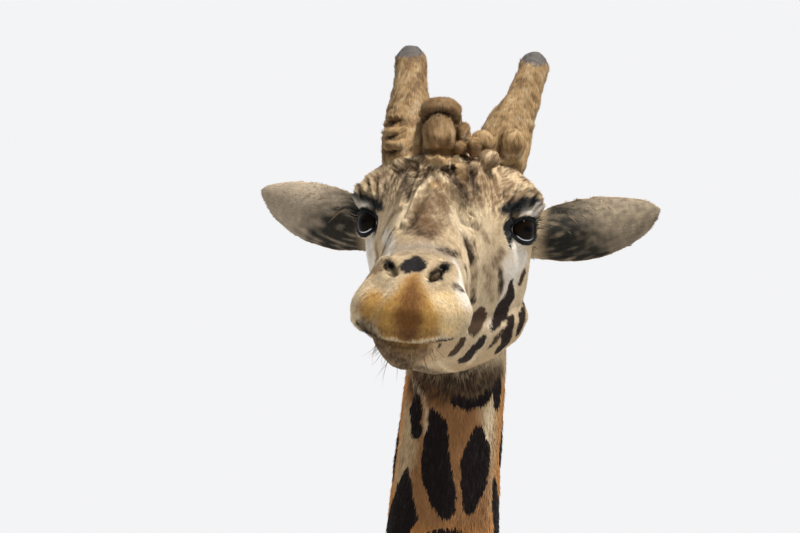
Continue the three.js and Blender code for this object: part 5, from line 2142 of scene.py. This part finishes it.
for leg in ("foreleg", "hindleg"):
    for hand in ("left", "right"):
        for half in ("inner", "outer"):
            node = f"hoof_{leg}_{hand}_{half}"
            shell = bmesh.new()
            add_flesh(shell, node)
            mesh = remeshed(shell, f"{half}_{leg}_{hand}_toe", HOOF_VOXEL)
            points = points_of(mesh)
            points = smoothed(points, edges_of(mesh), np.ones(len(points)), 14)
            set_points(mesh, points)
            high = points[:, 2]
            ring = RING_DEPTH * np.sin(high / RING_SPACING) * ramp(high, 0.01, 0.02)
            ring = ring * ramp(-high, -0.11, -0.08)
            points = points + normals_of(mesh) * ring[:, None]
            points[:, 2] = np.where(points[:, 2] < 0.006, 0.0, points[:, 2])
            set_points(mesh, points)
            mesh.materials.append(hoof_material)
            add_piece(f"{half}_{leg}_{hand}_toe", mesh, "hoof", node)
            print("toe of", 2 * len(mesh.polygons), "triangles")

# %% [markdown]
# ## Mane, tail, lashes and whiskers
# Long hair is made as strands: three-sided tapering tubes in a few steps, bent along their way.
# The mane is short and stiff and stands up from the crest of the neck, reddish with dark tips.
# The tail ends in a long black-brown tassel. Lashes fringe the upper lids, pale hair fringes the
# ears, and a few whiskers stand on the chin.

# %% Strands
def strand_mesh(
    name,
    slot_name,
    replaced,
    roots,
    way,
    side,
    bend,
    length,
    width,
    steps,
    root_colour,
    tip_colour,
    spots,
):
    """Bent three-sided tubes: way is where each starts, bend how far its end is pulled aside."""
    count = len(roots)
    share = np.arange(steps) / steps
    third = unit(np.cross(way, side))
    turn = np.radians((90, 210, 330))
    ring = np.cos(turn)[None, :, None] * side[:, None] + np.sin(turn)[None, :, None] * third[:, None]
    reach = length[:, None, None] * (
        share[None, :, None] * way[:, None] + share[None, :, None] ** 2 * bend[:, None]
    )
    taper = (1 - share**1.6)[None, :, None, None] * (width / 2)[:, None, None, None]
    rings = roots[:, None, None] + reach[:, :, None] + ring[:, None] * taper
    tip = roots + length[:, None] * (way + bend)
    corners = np.concatenate([rings.reshape(count, -1, 3), tip[:, None]], axis=1)
    faces = [(0, 2, 1)]
    for step in range(steps - 1):
        for k in range(3):
            a, b = 3 * step + k, 3 * step + (k + 1) % 3
            faces += [(a, b, b + 3), (a, b + 3, a + 3)]
    last = 3 * (steps - 1)
    faces += [(last + k, last + (k + 1) % 3, 3 * steps) for k in range(3)]
    faces = np.array(faces)
    mesh = repeated_mesh(name, corners, faces)
    along = np.concatenate([np.repeat(share, 3), [1]])[None, :, None]
    tints = root_colour[:, None] * (1 - along) + tip_colour[:, None] * along
    add_colour(mesh, "hair_colour", np.clip(tints.reshape(-1, 3), 0, 1))
    sideways = np.tile((-0.5, 0, 0.5), steps + 1)[: 3 * steps + 1]
    offsets = SPOT_SIZE * np.stack([sideways, along[0, :, 0] - 0.5], axis=1)
    add_spots(mesh, (spots[:, None] + offsets)[:, faces.ravel()])
    mesh.materials.append(hair_material)
    add_piece(name, mesh, slot_name, *replaced)
    print(name, "strands:", count, "triangles:", len(mesh.polygons))


# %% Mane
crest = points_of(nodes["mane"].data)
crest_middle = np.polyfit(crest[:, 2], crest[:, 0], 3)
crest_place = np.polyfit(crest[:, 2], crest[:, 1], 3)
crest_low, crest_high = crest[:, 2].min(), crest[:, 2].max()
MANE_HALF_WIDTH = 0.015
MANE_HEIGHT = 0.088
MANE_HAIRS = 130000
MANE_RED = np.array((0.20, 0.09, 0.035))
MANE_DARK = np.array((0.075, 0.038, 0.020))


def mane_density(middle, normal):
    aside = np.abs(middle[:, 0] - np.polyval(crest_middle, middle[:, 2]))
    behind = middle[:, 1] > np.polyval(crest_place, middle[:, 2]) - 0.10
    strip = (aside < MANE_HALF_WIDTH) & (normal[:, 1] > 0.3) & behind
    inside = (middle[:, 2] > crest_low + 0.06) & (middle[:, 2] < crest_high - 0.02)
    return MANE_HAIRS * (strip & inside)


mane_roots, mane_facing, _ = sow(skin_data, mane_density, random)
share = (mane_roots[:, 2] - crest_low) / (crest_high - crest_low)
aside = mane_roots[:, 0] - np.polyval(crest_middle, mane_roots[:, 2])
tall = MANE_HEIGHT * np.minimum(1, np.minimum(0.45 + 2.6 * share, 0.35 + 5 * (1 - share)))
tall = tall * random.uniform(0.82, 1.08, len(share))
clump = ripple(mane_roots * (0.4, 1, 1), 0.035, 95, 8)
way = unit(mane_facing * (0.2, 1, 1) + np.stack([aside * 6, 0.04 * clump, 0.07 * clump], axis=1))
way = unit(way + random.normal(0, 0.05, way.shape))
bend = np.tile((0.0, 0.02, 0.10), (len(way), 1)) + random.normal(0, 0.05, way.shape)
ground, depth, patch = hide_colours(mane_roots, mane_facing)
root_colour = mixed(ground, patch, ramp(depth, -0.002, 0.002)) * 0.75 + 0.25 * MANE_RED
tip_colour = 0.35 * root_colour + 0.65 * MANE_DARK
fade = np.clip(1 + random.normal(0, 0.18, len(way)), 0.5, 1.5)[:, None]
chart = chart_of(mane_roots, to_head(mane_roots))
spots, _ = pelt_places(mane_roots, mane_facing, chart)
strand_mesh(
    "neck_mane",
    "mane_hair",
    ["mane"],
    mane_roots - mane_facing * 0.004,
    way,
    np.tile((1.0, 0.0, 0.0), (len(way), 1)),
    bend,
    tall,
    np.full(len(way), 0.0030),
    3,
    root_colour * fade,
    tip_colour * fade,
    spots,
)

# %% Tail tassel
TASSEL_COUNT = 1500
# Heights over the ground: of the highest roots, of the strip of roots, and of the lowest tips.
TASSEL_TOP, TASSEL_ROOTS, TASSEL_END = 1.74, 0.24, 0.90
tassel = points_of(nodes["tail_tuft"].data)
tassel_y = np.polyfit(tassel[:, 2], tassel[:, 1], 3)
high = random.uniform(0, 1, TASSEL_COUNT) ** 1.3
place = TASSEL_TOP - TASSEL_ROOTS * high
turn = random.uniform(0, 2 * math.pi, TASSEL_COUNT)
out = np.stack([np.cos(turn), np.sin(turn), 0 * turn], axis=1)
thick = 0.019 - 0.010 * high
roots_in = np.stack([0 * turn, np.polyval(tassel_y, np.minimum(place, 1.54)), place], axis=1)
tail_lean = np.polyval(tassel_y, 1.5) - np.polyval(tassel_y, 1.0)
roots_in = roots_in + out * (thick * np.sqrt(random.uniform(0.2, 1, TASSEL_COUNT)))[:, None]
reach = random.uniform(0.30, 0.66, TASSEL_COUNT) * (0.86 + 0.14 * high)
reach = np.minimum(reach, place - TASSEL_END)
spread = random.uniform(0.02, 0.30, TASSEL_COUNT)[:, None]
way = unit(out * spread + (0, -0.5 * tail_lean, -1))
bend = -out * spread * random.uniform(0.7, 1.05, TASSEL_COUNT)[:, None]
bend = bend + random.normal(0, 0.02, out.shape)
fade = np.clip(1 + random.normal(0, 0.3, TASSEL_COUNT), 0.4, 1.8)[:, None]
strand_mesh(
    "tail_tassel",
    "tail_hair",
    ["tail_tuft"],
    roots_in,
    way,
    unit(np.cross(way, out)),
    bend,
    reach,
    np.full(TASSEL_COUNT, 0.0042),
    6,
    np.array((0.030, 0.020, 0.014)) * fade,
    np.array((0.016, 0.012, 0.010)) * fade,
    np.stack([0.02 + 0.96 * turn / (2 * math.pi), 0.05 + 0.9 * high], axis=1),
)

# %% Lashes, ear fringes and whiskers
# Each batch is in the head's frame: start, way, side bend, length, width and two colours.
LASHES, FRINGE, WHISKERS = 90, 420, 60
batches = []


def add_hairs(start, way, bend, length, width, low_colour, high_colour):
    count = len(start)
    colours = [np.tile(colour, (count, 1)) for colour in (low_colour, high_colour)]
    batches.append((start, way, bend, length, np.full(count, width), *colours))


for side in (1, -1):
    out, inner, rise = eye_axes(side)
    share = random.uniform(0.03, 0.97, LASHES)
    lid = resampled([(a, b, 0, 0) for a, b in UPPER_LID], 0.5)
    lid = lid[(share * (len(lid) - 1)).astype(int)]
    yaw, pitch = np.radians(lid[:, 0]), np.radians(lid[:, 1] + 1.0)
    start_way = (
        np.outer(np.cos(yaw) * np.cos(pitch), out)
        + np.outer(np.sin(yaw) * np.cos(pitch), inner)
        + np.outer(np.sin(pitch), rise)
    )
    outer = np.clip(0.6 - np.sin(yaw), 0, 1.5)
    away = start_way + np.outer(0.8 * np.sin(yaw) - 0.2, inner) - 0.45 * rise
    away = away + random.normal(0, 0.07, away.shape)
    tall = (5 + 8 * outer) * random.uniform(0.7, 1.2, LASHES)
    add_hairs(
        EYE_OUT[side] + start_way * (LID_RADIUS + 1.0),
        away,
        0.45 * rise - np.outer(0.25 * outer, inner),
        tall,
        0.9,
        COLOURS["black"],
        COLOURS["black"],
    )

facing_head = skin_normals @ HEAD_AXES * (1, -1, 1)
where = to_head(skin_points)
upper_rim = (ear_share(where) > 0.5) & (facing_head[:, 2] > 0.5) & (facing_head[:, 1] > -0.2)
rim_places = np.flatnonzero(upper_rim & (np.abs(where[:, 0]) < 235))
print("rim corners:", len(rim_places))
pick = random.choice(rim_places, FRINGE)
side_of = np.sign(where[pick, :1])
way = -0.8 * facing_head[pick] * (0, 1, 1) + (0, 0.35, 0.0) + side_of * (0.75, 0, 0)
add_hairs(
    where[pick] + random.normal(0, 1.5, (FRINGE, 3)),
    way + random.normal(0, 0.12, way.shape),
    np.tile((0, -0.15, -0.15), (FRINGE, 1)),
    random.uniform(14, 30, FRINGE),
    0.9,
    COLOURS["brown"],
    COLOURS["cream"] * 0.9,
)

on_chin = ramp(where[:, 1], 330, 380) * ramp(-where[:, 2], 165, 180) * (np.abs(where[:, 0]) < 90)
pick = random.choice(np.flatnonzero(on_chin > 0.5), WHISKERS)
way = facing_head[pick] + (0, 0.1, -0.9)
add_hairs(
    where[pick],
    way + random.normal(0, 0.2, way.shape),
    random.normal(0, 0.25, (WHISKERS, 3)),
    random.uniform(16, 38, WHISKERS),
    0.8,
    COLOURS["brown"],
    COLOURS["fawn"],
)
start, way, bend, tall, thick, low_colour, high_colour = (
    np.concatenate(column) for column in zip(*batches)
)
way = unit(head_direction(way))
roots = from_head(start)
strand_mesh(
    "lashes_and_whiskers",
    "mane_hair",
    [],
    roots,
    way,
    unit(np.cross(way, (0.3, 0.2, 0.9))),
    head_direction(bend),
    tall / 1000,
    thick / 1000,
    5,
    low_colour,
    high_colour,
    np.stack([0.5 + start[:, 0] / 700, 0.5 + start[:, 2] / 700], axis=1),
)
